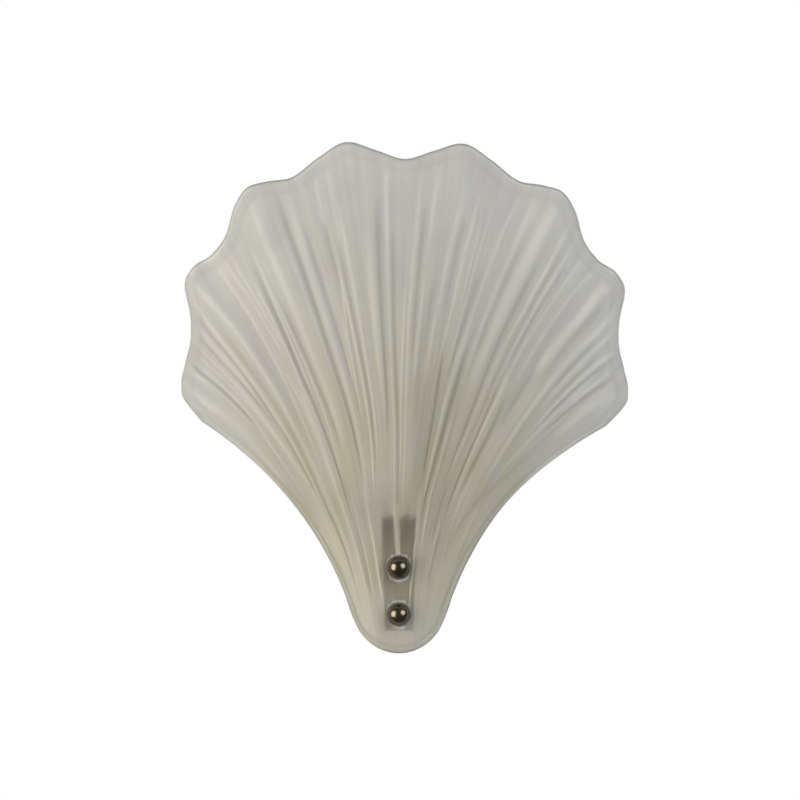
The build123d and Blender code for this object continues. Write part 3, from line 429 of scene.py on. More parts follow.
def rim_radius(glass, degrees):
    """Radius of the fan's rim: a cubic through the knots of RIM, level at the middle."""
    knots = np.array(RIM)
    angles, radii = knots[:, 0], knots[:, 1] * glass.fan_radius
    slopes = np.gradient(radii, angles)
    slopes[0] = 0
    away = np.abs(degrees)
    i = np.clip(np.searchsorted(angles, away, side="right") - 1, 0, len(angles) - 2)
    width = angles[i + 1] - angles[i]
    s = (away - angles[i]) / width
    return ((2 * s**3 - 3 * s**2 + 1) * radii[i] + (s**3 - 2 * s**2 + s) * width * slopes[i]
            + (3 * s**2 - 2 * s**3) * radii[i + 1] + (s**3 - s**2) * width * slopes[i + 1])


def cubic(start, first, second, end, t):
    """A cubic Bezier curve's coordinate."""
    r = 1 - t
    return r**3 * start + 3 * r**2 * t * first + 3 * r * t**2 * second + t**3 * end


def middle_surface(glass, side, t):
    """Points halfway through the glass wall.

    side runs from -1 to 1 across the fan and t from 0 at the tongue to 1 at the rim. Each rib is a
    cubic from a place on the tongue's round end to a place on the rim, and lower down the ribs draw in
    towards the middle. The depth grows along t and falls off to the flanks as a cosine.
    """
    u = side * (1 - DRAW_IN * (1 - t)**DRAW_IN_POWER * (1 - side**4))
    turned = np.radians(u * RIM[-1][0])
    radius = rim_radius(glass, u * RIM[-1][0])
    rim_x = radius * np.sin(turned)
    rim_z = glass.pivot_height + radius * np.cos(turned)
    spread = EVEN_SPREAD * u + (1 - EVEN_SPREAD) * u**5
    turn = spread * glass.tongue_turn
    foot_x = glass.tongue_half_width * np.sin(turn)
    foot_z = glass.tongue_height * (1 - np.cos(turn))
    span = np.hypot(rim_x - foot_x, rim_z - foot_z)
    leave, arrive = FLANK_START * spread, FLANK_END * u
    first, last = START_HANDLE * span, END_HANDLE * span
    x = cubic(foot_x, foot_x + first * np.sin(leave), rim_x - last * np.sin(arrive), rim_x, t)
    z = cubic(foot_z, foot_z + first * np.cos(leave), rim_z - last * np.cos(arrive), rim_z, t)
    top = glass.pivot_height + glass.fan_radius * RIM[0][1]
    centre_z = cubic(0, START_HANDLE, 1 - END_HANDLE, 1, t) * top
    level = glass.front_depth - glass.wall / 2
    middle_depth = level + glass.reach * smooth((centre_z - glass.belly_start) / glass.belly_rise)
    flank_depth = level - glass.flank_setback - glass.rim_setback * t
    flat = FLAT_SHARE * (1 - smooth(t / FLAT_END))
    across = np.clip((np.abs(side) - flat) / (1 - flat), 0, 1)
    depth = middle_depth - (middle_depth - flank_depth) * (1 - np.cos(np.pi / 2 * across))
    return np.stack([x, -depth, z], axis=-1)


def rib_height(side, t):
    """Height of the ribs and grooves on the front, in metres.

    Each is a bell curve across a line that runs through its places, and swells and fades at both ends.
    All are bolder towards the tongue and fade out below the smooth lip of the rim.
    """
    total = np.zeros_like(side)
    for height, half_width, *places in RIBS:
        crest, level = np.array(places[::-1]).T
        middle = np.interp(t, level, crest)
        span = level[-1] - level[0]
        rise = smooth((t - level[0] + RIB_SWELL[0] * span) / (RIB_SWELL[1] * span))
        fall = smooth((level[-1] + RIB_FADE[0] * span - t) / (RIB_FADE[1] * span))
        total += height * rise * fall * np.exp(-((side - middle) / half_width)**2)
    bolder = 1 + BOLDER - BOLDER * smooth(t / BOLDER_END)
    lip = 1 - smooth((t - LIP[0]) / (LIP[1] - LIP[0]))
    return np.clip(total * bolder * MM, -RIB_LIMIT, RIB_LIMIT) * lip


def edge_groove(distances):
    """The shallow grooves along the edges, as bell curves of the distances to the outline."""
    total = 0
    for distance, (place, half_width, depth) in zip(distances, (EDGE_GROOVE, RIM_GROOVE)):
        total = total - depth * np.exp(-((distance - place) / half_width)**2)
    return total


def outline_distances(glass, side, t):
    """Shortest distance in the front view to the line of flanks and foot, and to the rim."""
    fine = np.linspace(-1, 1, 900)
    ones, rise = np.ones_like(fine), (fine + 1) / 2
    foot, rim = middle_surface(glass, fine, 0 * fine), middle_surface(glass, fine, ones)
    left, right = middle_surface(glass, -ones, rise), middle_surface(glass, ones, rise)
    places = middle_surface(glass, side, t)[..., ::2]
    found = []
    for line in (np.concatenate([left, foot, right])[:, ::2], rim[:, ::2]):
        found.append(np.array([np.hypot(*(column[:, None] - line).T).min(axis=0) for column in places]))
    return found


def edge_distances(glass, side, t):
    """Distance in metres from each point to the flank, to the tongue's edge and to the rim.

    Each is the step in side or t to that edge, times how far the surface moves there for one unit.
    """
    step = 0.01
    edge, foot = np.ones_like(side), np.zeros_like(side)

    def speed(outer, inner):
        """How far the surface moves at a point for one unit of side or t."""
        moved = middle_surface(glass, *outer) - middle_surface(glass, *inner)
        return np.linalg.norm(moved, axis=-1) / step

    flank_speed = speed((edge, t), (edge - step, t))
    foot_speed = speed((side, foot + step), (side, foot))
    rim_speed = speed((side, edge), (side, edge - step))
    return (1 - np.abs(side)) * flank_speed, t * foot_speed, (1 - t) * rim_speed


def rounding(distance, radius):
    """Quarter ellipse: 0 at the edge, 1 from one radius inwards."""
    return np.sqrt(np.clip(1 - (1 - np.clip(distance / radius, 0, 1))**2, 0, 1))


def glass_surface(glass, side, t, face, relief):
    """Points of the front (face = 1) or back (face = -1) of the glass, its relief in metres.

    Each lies half the wall off the middle surface, plus the lobes and the relief, along the normal,
    which turns straight out from the wall towards the flanks and the rim. The half wall and the relief
    shrink to nothing at the edges along quarter ellipses, so that front and back meet round. The fan
    leans to the right: its right side sinks and its left side rises as its top moves over.
    """
    step = 1e-4
    across = (middle_surface(glass, np.clip(side + step, -1, 1), t)
              - middle_surface(glass, np.clip(side - step, -1, 1), t))
    along = (middle_surface(glass, side, np.clip(t + step, 0, 1))
             - middle_surface(glass, side, np.clip(t - step, 0, 1)))
    normal = np.cross(across, along)
    normal /= np.linalg.norm(normal, axis=-1, keepdims=True)
    off_flank = 1 - smooth((np.abs(side) - FORWARD_FROM_SIDE) / (1 - FORWARD_FROM_SIDE))
    at_edge = 1 - off_flank * (1 - smooth((t - FORWARD_FROM_T) / (1 - FORWARD_FROM_T)))
    normal = normal * (1 - at_edge)[..., None] + np.array([0, -1, 0]) * at_edge[..., None]
    normal /= np.linalg.norm(normal, axis=-1, keepdims=True)
    count = np.interp(np.abs(side), [k[0] for k in LOBES], [k[1] for k in LOBES])
    grown = smooth((t - LOBE_START) / LOBE_RISE)
    lobe = -0.5 * glass.lobe_relief * np.cos(2 * np.pi * count) * grown
    round_off = np.ones_like(side)
    for distance in edge_distances(glass, side, t):
        round_off = round_off * rounding(distance, glass.edge_radius)
    offset = lobe + (face * glass.wall / 2 + relief) * round_off
    points = middle_surface(glass, side, t) + normal * offset[..., None]
    leaning = glass.lean * smooth((points[..., 2] - glass.lean_start) / glass.lean_rise)
    points[..., 2] -= glass.drop + leaning * points[..., 0] / glass.fan_radius
    points[..., 0] += leaning
    return points


def clearness(glass, side, points, relief):
    """Share of the light that passes straight into the glass, at points of its front.

    Less passes halfway up the left side and near the right flank, which paints them paler as painted light.
    More passes in the band where the strap lies close behind, but less on the ribs there, which paints them
    paler as painted highlights.
    """
    x, rise = points[..., 0], points[..., 2] + glass.drop
    climb = PAINTED_LIGHT_CLIMB * np.clip(-PAINTED_LIGHT_BEND - x, 0, 1)
    top = np.where(x < 0, PAINTED_LIGHT_TOP_LEFT + climb, PAINTED_LIGHT_TOP_RIGHT)
    loss, start, width = PAINTED_LIGHT_LEFT_FLANK
    left = 1 - smooth((x - PAINTED_LIGHT_EDGE[0]) / PAINTED_LIGHT_EDGE[1])
    left = left * (1 - loss * smooth((-side - start) / width))
    strength, start, width = PAINTED_LIGHT_RIGHT_FLANK
    right = strength * smooth((side - start) / width)
    height = smooth((rise - PAINTED_LIGHT_FOOT) / PAINTED_LIGHT_RISE) * (1 - smooth((rise - top) / PAINTED_LIGHT_FADE))
    # Painted light: less passes in these areas, which makes them paler
    clear = glass.clearness + (glass.painted_light_clearness - glass.clearness) * (left + right) * height
    seat = 1 - smooth((np.abs(x) - glass.seat_half_width) / SEAT_EDGE)
    seat = seat * (1 - smooth((rise - glass.seat_top) / SEAT_TOP_EDGE))
    seat = seat * np.interp(rise, SEAT_HEIGHTS, SEAT_SHARES)
    # Painted highlight: the ribs over the strap let less light pass, so they show paler
    seat = seat * (1 - SEAT_RIB_LOSS * smooth(SEAT_RIB_GAIN * relief / RIB_LIMIT))
    return clear + (glass.seat_clearness - clear) * seat


def spread_places(density, low, high, steps):
    """Places from low to high, as many as steps, in equal steps of the density added up."""
    fine = np.linspace(low, high, 4001)
    weight = density(fine)
    summed = np.concatenate([[0], np.cumsum((weight[1:] + weight[:-1]) / 2)])
    return np.interp(np.linspace(0, summed[-1], steps), summed, fine)


def side_places(glass):
    """Columns across the fan: closer together where thin ribs lie, and round both flanks."""
    def density(side):
        weight = np.full_like(side, PLAIN_DENSITY)
        for _, half_width, *places in RIBS:
            away = side - np.mean([place[0] for place in places])
            spread = RIB_SPREAD[0] + RIB_SPREAD[1] * half_width
            weight += RIB_DENSITY / half_width * np.exp(-(away / spread)**2)
        return np.minimum(weight, HIGHEST_DENSITY)

    edge = edge_places(glass.edge_radius / FLANK_REACH)
    gap = FLANK_GAP * edge[-1]
    inner = spread_places(density, -1 + gap, 1 - gap, SIDE_STEPS)
    return np.concatenate([-1 + edge, inner, (1 - edge)[::-1]])


def row_places(glass):
    """Rows from tongue to rim: closer together near both ends, and round both edges."""
    def density(t):
        weight = 1
        for added, place, width in (FOOT_ROWS, RIM_ROWS):
            weight = weight + added * np.exp(-((t - place) / width)**2)
        return weight

    foot, rim = edge_places(glass.edge_radius / FOOT_REACH), edge_places(glass.edge_radius / RIM_REACH)
    inner = spread_places(density, FOOT_GAP * foot[-1], 1 - RIM_GAP * rim[-1], ROW_STEPS)
    return np.concatenate([foot, inner, (1 - rim)[::-1]])


def edge_places(reach):
    """Steps in from an edge that follow a quarter circle, up to the given reach."""
    return reach * (1 - np.cos(np.linspace(0, np.pi / 2, EDGE_STEPS)))


# ---- meshes -------------------------------------------------------------------------------------


def mesh_piece(name, points, faces, body, attributes=None):
    """A smooth mesh piece from arrays of points and faces, riding on a body if one is named."""
    mesh = bpy.data.meshes.new(name)
    sides = faces.shape[1]
    mesh.vertices.add(len(points))
    mesh.vertices.foreach_set("co", points.astype(np.float32).ravel())
    mesh.loops.add(faces.size)
    mesh.loops.foreach_set("vertex_index", faces.astype(np.int32).ravel())
    mesh.polygons.add(len(faces))
    mesh.polygons.foreach_set("loop_start", np.arange(0, faces.size, sides, dtype=np.int32))
    mesh.polygons.foreach_set("use_smooth", np.ones(len(faces), bool))
    mesh.update(calc_edges=True)
    for label, values in (attributes or {}).items():
        mesh.attributes.new(label, "FLOAT", "POINT").data.foreach_set("value", values.astype(np.float32))
    mesh.validate()
    piece = bpy.data.objects.new(name, mesh)
    bpy.context.scene.collection.objects.link(piece)
    if body:
        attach(piece, body)
    return piece


def grid_faces(index):
    """Quads of a grid of vertex numbers, one for each cell."""
    corners = [index[:-1, :-1], index[1:, :-1], index[1:, 1:], index[:-1, 1:]]
    return np.stack(corners, axis=-1).reshape(-1, 4)


def rings(index):
    """The same grid of vertex numbers, its first column set behind the last, so that its rows close."""
    return np.concatenate([index, index[:, :1]], axis=1)


def turned_piece(name, profile, body, axis, steps=64, shape=None):
    """A closed solid of revolution from a profile of radius and height.

    The axis is level through an x and z, its heights being depths, or upright through an x and depth.
    The profile starts and ends on the axis, or comes back to its first point. shape, where given, takes
    the arrays of radius, height and turn (the share of a full one) and returns the radius to use.
    """
    profile = np.array(profile, float)
    ring = np.allclose(profile[0], profile[-1])
    if ring:
        profile = profile[:-1]
    turn = np.arange(steps)[None, :] / steps * np.ones((len(profile), 1))
    radius, height = (profile[:, [i]] * np.ones((1, steps)) for i in (0, 1))
    if shape is not None:
        radius = shape(radius, height, turn)
    across, along = radius * np.cos(2 * np.pi * turn), radius * np.sin(2 * np.pi * turn)
    kind, x, other = axis
    if kind == "upright":
        points = np.stack([x + across, -other + along, height], axis=-1)
    else:
        points = np.stack([x + across, -height, other + along], axis=-1)
    index = rings(np.arange(radius.size).reshape(radius.shape))
    if ring:
        index = np.concatenate([index, index[:1]])
    piece = mesh_piece(name, points.reshape(-1, 3), grid_faces(index), body)
    close_and_face_out(piece.data)
    return piece


def close_and_face_out(mesh):
    """Merges points that lie together, such as a ring on the axis, and points all faces outwards."""
    form = bmesh.new()
    form.from_mesh(mesh)
    bmesh.ops.remove_doubles(form, verts=form.verts, dist=1e-7)
    bmesh.ops.recalc_face_normals(form, faces=form.faces)
    form.to_mesh(mesh)
    form.free()


def wire_piece(name, route, radius, body, sides=8):
    """A round wire along a route of many points, its ends closed by small domes.

    At each point of the route stands a ring of the given radius, square to the route; each ring's first
    direction is the one before it, made square again, so that the wire doesn't twist.
    """
    along = np.gradient(route, axis=0)
    along /= np.linalg.norm(along, axis=1, keepdims=True)
    first = np.zeros_like(route)
    start = np.cross(along[0], (0.0, 1.0, 0.0) if abs(along[0][1]) < 0.9 else (1.0, 0.0, 0.0))
    first[0] = start / np.linalg.norm(start)
    for i in range(1, len(route)):
        square = first[i - 1] - along[i] * np.dot(first[i - 1], along[i])
        first[i] = square / np.linalg.norm(square)
    second = np.cross(along, first)
    dome = 0.99 * radius
    width = np.concatenate([[0.0, dome], np.full(len(route), radius), [dome, 0.0]])
    route = np.concatenate([route[:1] - along[:1] * radius, route[:1], route, route[-1:],
                            route[-1:] + along[-1:] * radius])
    first, second = (np.concatenate([v[:1], v[:1], v, v[-1:], v[-1:]]) for v in (first, second))
    turn = 2 * np.pi * np.arange(sides) / sides
    turn = turn[None, :, None]
    square = first[:, None] * np.cos(turn) + second[:, None] * np.sin(turn)
    points = route[:, None] + width[:, None, None] * square
    index = rings(np.arange(len(route) * sides).reshape(len(route), sides))
    piece = mesh_piece(name, points.reshape(-1, 3), grid_faces(index), body)
    close_and_face_out(piece.data)
    return piece


def rounded(corners, radius, steps=4, closed=False):
    """A profile through corners, each eased by a quadratic curve that starts radius before it.

    At most 0.45 of the shorter neighbouring run is used, and a closed profile comes back to its start.
    """
    corners = [np.array(c, float) for c in corners]
    if closed:
        halfway = (corners[0] + corners[1]) / 2
        corners = [halfway] + corners[1:] + [corners[0], halfway]
    points = [corners[0]]
    for before, corner, after in zip(corners[:-2], corners[1:-1], corners[2:]):
        back, forth = before - corner, after - corner
        reach = min(radius, 0.45 * np.linalg.norm(back), 0.45 * np.linalg.norm(forth))
        start = corner + back / np.linalg.norm(back) * reach
        end = corner + forth / np.linalg.norm(forth) * reach
        s = np.linspace(0, 1, steps + 1)[:, None]
        points += list((1 - s)**2 * start + 2 * s * (1 - s) * corner + s**2 * end)
    points.append(corners[-1])
    return np.array(points)


def straight(radius, low, high, step):
    """Points up a cylinder, close enough together to carry a thread."""
    heights = np.linspace(low, high, max(2, int(abs(high - low) / step)))
    return [(radius, h) for h in heights]


def thread(pitch, depth, at_radius, low, high):
    """A shape for turned pieces: a right-hand helical wave of the given depth on one radius.

    The wave is (cos(2 pi (height / pitch - turn)) - 1) / 2 times the depth, faded in over one pitch at
    both ends. A negative depth makes it stand out.
    """
    def shape(radius, height, turn):
        fade = smooth((height - low) / pitch) * smooth((high - height) / pitch)
        wave = 0.5 * (np.cos(2 * np.pi * (height / pitch - turn)) - 1)
        return np.where(np.isclose(radius, at_radius, atol=1e-6), radius + depth * wave * fade, radius)
    return shape


def cut(piece, cutters):
    """Takes the cutters away from the piece, with the result applied to its mesh."""
    for cutter in cutters:
        modifier = piece.modifiers.new("cut", "BOOLEAN")
        modifier.operation = "DIFFERENCE"
        modifier.solver = "EXACT"
        modifier.object = cutter
    graph = bpy.context.evaluated_depsgraph_get()
    done = bpy.data.meshes.new_from_object(piece.evaluated_get(graph))
    piece.modifiers.clear()
    piece.data = done
    for cutter in cutters:
        bpy.data.objects.remove(cutter)


def dress(piece, material, *nodes):
    """Gives a new piece its finish and slot, in the place of the nodes it stands for."""
    piece.data.materials.append(material)
    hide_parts(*nodes)


# ---- material nodes -----------------------------------------------------------------------------


def node(tree, kind, inputs=None, **settings):
    """A new node, its settings and its inputs, each a plain value or the socket that feeds it."""
    made = tree.nodes.new(kind)
    for name, value in settings.items():
        setattr(made, name, value)
    for name, value in (inputs or {}).items():
        feed(tree, made.inputs[name], value)
    return made


def feed(tree, socket, value):
    """Links or sets one input. A colour of three numbers gets its alpha."""
    if isinstance(value, bpy.types.NodeSocket):
        tree.links.new(value, socket)
    elif socket.type == "RGBA":
        socket.default_value = (*tuple(value)[:3], 1.0)
    else:
        socket.default_value = value


def new_finish(name):
    """An empty material and its main shader."""
    material = bpy.data.materials.new(name)
    material.use_nodes = True
    tree = material.node_tree
    return material, tree, tree.nodes["Principled BSDF"]


def grain(tree, scale, detail=3.0, stretch=(1.0, 1.0, 1.0)):
    """Noise on the piece's object coordinates, from 0 to 1."""
    place = node(tree, "ShaderNodeTexCoord")
    sized = node(tree, "ShaderNodeMapping", {"Vector": place.outputs["Object"], "Scale": stretch})
    return node(tree, "ShaderNodeTexNoise",
                {"Vector": sized.outputs["Vector"], "Scale": scale, "Detail": detail}).outputs["Fac"]


def ranged(tree, value, low, high, new_low, new_high):
    """A value stretched smoothly from one range to another."""
    return node(tree, "ShaderNodeMapRange",
                {"Value": value, "From Min": low, "From Max": high, "To Min": new_low, "To Max": new_high},
                interpolation_type="SMOOTHSTEP").outputs["Result"]


def math_node(tree, operation, first, second):
    """One operation on two values."""
    made = tree.nodes.new("ShaderNodeMath")
    made.operation = operation
    feed(tree, made.inputs[0], first)
    feed(tree, made.inputs[1], second)
    return made.outputs["Value"]


def blend_colours(tree, factor, first, second):
    """One colour changing to another."""
    made = node(tree, "ShaderNodeMix", data_type="RGBA")
    for place, value in ((0, factor), (6, first), (7, second)):
        feed(tree, made.inputs[place], value)
    return made.outputs[2]


def painted_value(tree, name):
    """One of the values kept on the points of a mesh."""
    return node(tree, "ShaderNodeAttribute", attribute_name=name).outputs["Fac"]


def multiplied(tree, first, second):
    """Two colours multiplied."""
    return node(tree, "ShaderNodeVectorMath", {0: first, 1: second}, operation="MULTIPLY").outputs["Vector"]


def scaled(tree, first, factor):
    """A colour scaled by a value."""
    made = node(tree, "ShaderNodeVectorMath", {"Vector": first, "Scale": factor}, operation="SCALE")
    return made.outputs["Vector"]


def object_place(tree, axis):
    """One of the piece's object coordinates, by its letter."""
    place = node(tree, "ShaderNodeTexCoord")
    return node(tree, "ShaderNodeSeparateXYZ", {"Vector": place.outputs["Object"]}).outputs[axis]


def mix_shaders(tree, factor, first, second):
    """One shader changing to another."""
    made = tree.nodes.new("ShaderNodeMixShader")
    for place, value in enumerate((factor, first.outputs[0], second.outputs[0])):
        tree.links.new(value, made.inputs[place])
    return made


def seen_rays(tree):
    """1 for the camera's rays and for those that pass through glass, 0 for all others."""
    ray = node(tree, "ShaderNodeLightPath")
    return math_node(tree, "MAXIMUM", ray.outputs["Is Camera Ray"], ray.outputs["Is Transmission Ray"])


def bump(tree, shader, height, strength, distance):
    """Fine relief from a height between 0 and 1."""
    made = node(tree, "ShaderNodeBump", {"Height": height, "Strength": strength, "Distance": distance})
    tree.links.new(made.outputs["Normal"], shader.inputs["Normal"])


def plain_finish(name, light, dark, roughness, scale, relief=0.0, inputs=None):
    """A finish whose colour and roughness wander gently between two values.

    light and dark are its two shades, roughness its lowest and highest value, scale the number of
    patches in a metre, relief the height of its texture in metres; inputs are set on the shader.
    """
    material, tree, shader = new_finish(name)
    patches = ranged(tree, grain(tree, scale, 4.0), 0.3, 0.7, 0.0, 1.0)
    tree.links.new(blend_colours(tree, patches, light, dark), shader.inputs["Base Color"])
    fine = grain(tree, scale * 6, 3.0)
    tree.links.new(ranged(tree, fine, 0.25, 0.75, *roughness), shader.inputs["Roughness"])
    if relief:
        bump(tree, shader, fine, 0.6, relief)
    for socket, value in (inputs or {}).items():
        shader.inputs[socket].default_value = value
    return material


# ---- finishes -----------------------------------------------------------------------------------


METAL = {"Metallic": 1.0}
# Lighter and darker shade, lowest and highest roughness, patches in a metre, height of the texture in
# metres, and inputs of the shader
PLAIN_FINISHES = {
    "plate_enamel": ((0.80, 0.80, 0.77), (0.74, 0.74, 0.70), (0.32, 0.42), 40.0, 0.00003,
                     {"Coat Weight": 0.3}),
    "rivet_steel": ((0.58, 0.57, 0.54), (0.42, 0.41, 0.38), (0.25, 0.40), 300.0, 0.00002, METAL),
    "zinc_steel": ((0.66, 0.66, 0.63), (0.50, 0.50, 0.47), (0.24, 0.40), 250.0, 0.00002, METAL),
    "washer_soft": ((0.74, 0.73, 0.67), (0.66, 0.65, 0.58), (0.50, 0.70), 400.0, 0.00004),
    "holder_plastic": ((0.78, 0.77, 0.73), (0.73, 0.72, 0.67), (0.28, 0.38), 120.0, 0.00002),
    "holder_ceramic": ((0.82, 0.80, 0.75), (0.74, 0.71, 0.64), (0.50, 0.70), 400.0, 0.00005),
    "contact_brass": ((0.80, 0.62, 0.30), (0.58, 0.42, 0.18), (0.22, 0.42), 300.0, 0.00002, METAL),
    "bulb_cap_metal": ((0.78, 0.78, 0.77), (0.62, 0.62, 0.60), (0.22, 0.40), 300.0, 0.00002, METAL),
    "bulb_insulator_glass": ((0.02, 0.02, 0.024), (0.04, 0.04, 0.045), (0.08, 0.20), 300.0),
    "filament_metal": ((0.30, 0.29, 0.28), (0.20, 0.19, 0.19), (0.35, 0.50), 900.0, 0.0, METAL),
    "solder": ((0.60, 0.60, 0.58), (0.40, 0.40, 0.39), (0.40, 0.60), 700.0, 0.0001, METAL),
    "block_nylon": ((0.78, 0.77, 0.71), (0.71, 0.69, 0.62), (0.42, 0.55), 200.0, 0.00004),
    "lead_live": ((0.26, 0.13, 0.07), (0.19, 0.09, 0.05), (0.30, 0.42), 300.0),
    "lead_neutral": ((0.07, 0.20, 0.50), (0.05, 0.14, 0.38), (0.30, 0.42), 300.0),
    "grommet_rubber": ((0.035, 0.035, 0.035), (0.06, 0.06, 0.058), (0.50, 0.70), 500.0, 0.00005),
}
# Shares of the way up the ribs between which the glass changes from the foot's tint to the low one, and
# from the low one to the fan's. The low tint is painted shade: darker and yellower low down, where the
# parts behind the glass darken it
FOOT_TINT_ENDS = (0.02, 0.20)
LOW_SHADE_ENDS = (0.45, 1.05)
# Cloudy patches of the glass in a metre, their stretch on each axis, and how much of their colour shows
CLOUD_SCALE = 60.0
CLOUD_STRETCH = (1.0, 1.0, 0.35)
CLOUD_SHARE = 0.35
# Streaks from the middle of the fan to a flank and up the ribs, and the height of their relief in metres
STREAKS_ACROSS = 34.0
STREAKS_UP = 2.2
STREAK_RELIEF = 0.0004
# A nut's painted shade, which dims its reflection round the foot, starts and is full at these shares of
# the ball's radius in front of its centre
FOOT_SHADE_ENDS = (0.82, 0.35)
# Heights between which the strap is painted dark towards its bend, a painted shade, in metres
BEND_SHADE_HEIGHTS = (-0.050, -0.041)


def finish(slot):
    """The finish for a slot of the CAD nodes that are shown as they are."""
    if slot in PLAIN_FINISHES:
        return plain_finish(slot, *PLAIN_FINISHES[slot])
    return {"bracket_steel": bracket_finish, "lead_earth": earth_lead_finish}[slot]()


def glass_finish(glass):
    """Pressed glass, etched matt behind and satin in front.

    It is duller and warmer low down, as painted shade of the parts behind it, greyer round the tongue's end,
    paler on the ribs than in the grooves as painted highlight and shade, and greenish grey along its edges
    as a painted dark outline.
    """
    material, tree, shader = new_finish("frosted_glass")
    height, across = painted_value(tree, "up_the_rib"), painted_value(tree, "across")
    # Painted shade: darker and yellower low down, where the parts behind the glass darken it
    foot_ends = ranged(tree, height, *FOOT_TINT_ENDS, 0.0, 1.0)
    low = blend_colours(tree, foot_ends, glass.foot_tint, glass.low_shaded_tint)
    body = blend_colours(tree, ranged(tree, height, *LOW_SHADE_ENDS, 0.0, 1.0), low, glass.tint)
    clouds = ranged(tree, grain(tree, CLOUD_SCALE, 4.0, CLOUD_STRETCH), 0.4, 0.65, 0.0, CLOUD_SHARE)
    body = blend_colours(tree, clouds, body, glass.cloud_tint)
    place = node(tree, "ShaderNodeCombineXYZ", {
        "X": math_node(tree, "MULTIPLY", across, STREAKS_ACROSS),
        "Y": math_node(tree, "MULTIPLY", height, STREAKS_UP)}).outputs["Vector"]
    streaks = node(tree, "ShaderNodeTexNoise", {"Vector": place, "Scale": 1.0, "Detail": 3.0})
    streaks = streaks.outputs["Fac"]
    streaked = multiplied(tree, body, glass.streak)
    body = blend_colours(tree, ranged(tree, streaks, 0.35, 0.65, 0.0, 1.0), body, streaked)
    # Painted highlight on the ribs and painted shade in the grooves, edge grooves included
    darkest, palest = 1.0 - glass.rib_light_and_shade, 1.0 + glass.rib_light_and_shade
    body = scaled(tree, body, ranged(tree, painted_value(tree, "rib"), -1.0, 1.0, darkest, palest))
    # Painted shade: the dark outline along the edges
    edged = blend_colours(tree, painted_value(tree, "edge"), body, glass.edge_tint)
    tree.links.new(edged, shader.inputs["Base Color"])
    front = painted_value(tree, "front")
    tree.links.new(ranged(tree, front, 0.0, 1.0, glass.back_roughness, glass.front_roughness),
                   shader.inputs["Roughness"])
    bump(tree, shader, streaks, 0.5, STREAK_RELIEF)
    tree.links.new(painted_value(tree, "clear"), shader.inputs["Transmission Weight"])
    shader.inputs["IOR"].default_value = 1.5
    return material


def nickel_finish(fixing):
    """Dark polished nickel: bright in front, a little patchy, with painted shade round a nut's foot."""
    light = tuple(fixing.nickel)
    dark = tuple(c * f for c, f in zip(light, (0.80, 0.74, 0.64)))
    material = plain_finish("dark_nickel", light, dark, (0.21, 0.29), 160.0, 0.0, METAL)
    tree = material.node_tree
    base = tree.nodes["Principled BSDF"].inputs["Base Color"]
    ball = fixing.ball / 2
    centre = -fixing.nut_base - math.sqrt(ball**2 - (fixing.foot / 2)**2)
    start, full = (centre - share_out * ball for share_out in FOOT_SHADE_ENDS)
    # Painted shade: the nickel darkens towards the nut's foot, dimming its reflection there
    shade = ranged(tree, object_place(tree, "Y"), start, full, 1.0, 1.0 - fixing.foot_shade)
    tree.links.new(scaled(tree, base.links[0].from_socket, shade), base)
    return material


def bracket_finish():
    """Satin steel strip, brushed along its length, with painted shade towards its bend."""
    material, tree, shader = new_finish("bracket_steel")
    brushed = grain(tree, 900.0, 3.0, (1.0, 1.0, 0.03))
    steel = blend_colours(tree, brushed, (0.80, 0.75, 0.63), (0.70, 0.65, 0.54))
    # Painted shade: the strap turns nearly black towards its bend, where it turns back from the glass
    bend_shade = ranged(tree, object_place(tree, "Z"), *BEND_SHADE_HEIGHTS, 0.0, 1.0)
    tree.links.new(blend_colours(tree, bend_shade, steel, (0.03, 0.03, 0.022)), shader.inputs["Base Color"])
    tree.links.new(ranged(tree, brushed, 0.3, 0.7, 0.38, 0.55), shader.inputs["Roughness"])
    bump(tree, shader, brushed, 0.3, 0.00003)
    shader.inputs["Metallic"].default_value = 0.35
    return material


def clear_washer_finish():
    """Clear soft plastic, slightly yellowed."""
    material, tree, shader = new_finish("washer_clear")
    aged = blend_colours(tree, grain(tree, 500.0), (0.72, 0.70, 0.62), (0.60, 0.58, 0.50))
    tree.links.new(aged, shader.inputs["Base Color"])
    tree.links.new(ranged(tree, grain(tree, 900.0), 0.3, 0.7, 0.16, 0.26), shader.inputs["Roughness"])
    shader.inputs["Transmission Weight"].default_value = 0.85
    shader.inputs["IOR"].default_value = 1.45
    return material


def clear_glass_finish():
    """Clear lamp glass with a faint haze."""
    material, tree, shader = new_finish("bulb_glass")
    haze = grain(tree, 90.0)
    clear = blend_colours(tree, haze, (0.97, 0.98, 0.97), (0.90, 0.92, 0.90))
    tree.links.new(clear, shader.inputs["Base Color"])
    tree.links.new(ranged(tree, haze, 0.4, 0.7, 0.0, 0.03), shader.inputs["Roughness"])
    shader.inputs["Transmission Weight"].default_value = 1.0
    shader.inputs["IOR"].default_value = 1.5
    return material


def earth_lead_finish():
    """Green sheath with a yellow stripe that winds along it."""
    material, tree, shader = new_finish("lead_earth")
    place = node(tree, "ShaderNodeTexCoord")
    stripes = node(tree, "ShaderNodeTexWave",
                   {"Vector": place.outputs["Object"], "Scale": 60.0, "Distortion": 0.0},
                   bands_direction="DIAGONAL")
    split = ranged(tree, stripes.outputs["Fac"], 0.45, 0.55, 0.0, 1.0)
    striped = blend_colours(tree, split, (0.10, 0.30, 0.05), (0.80, 0.66, 0.08))
    tree.links.new(striped, shader.inputs["Base Color"])
    tree.links.new(ranged(tree, grain(tree, 300.0), 0.3, 0.7, 0.3, 0.42), shader.inputs["Roughness"])
    return material


# ---- operators ----------------------------------------------------------------------------------

# Room between a piece and the thread that goes through it
PLAY = 0.05 * MM
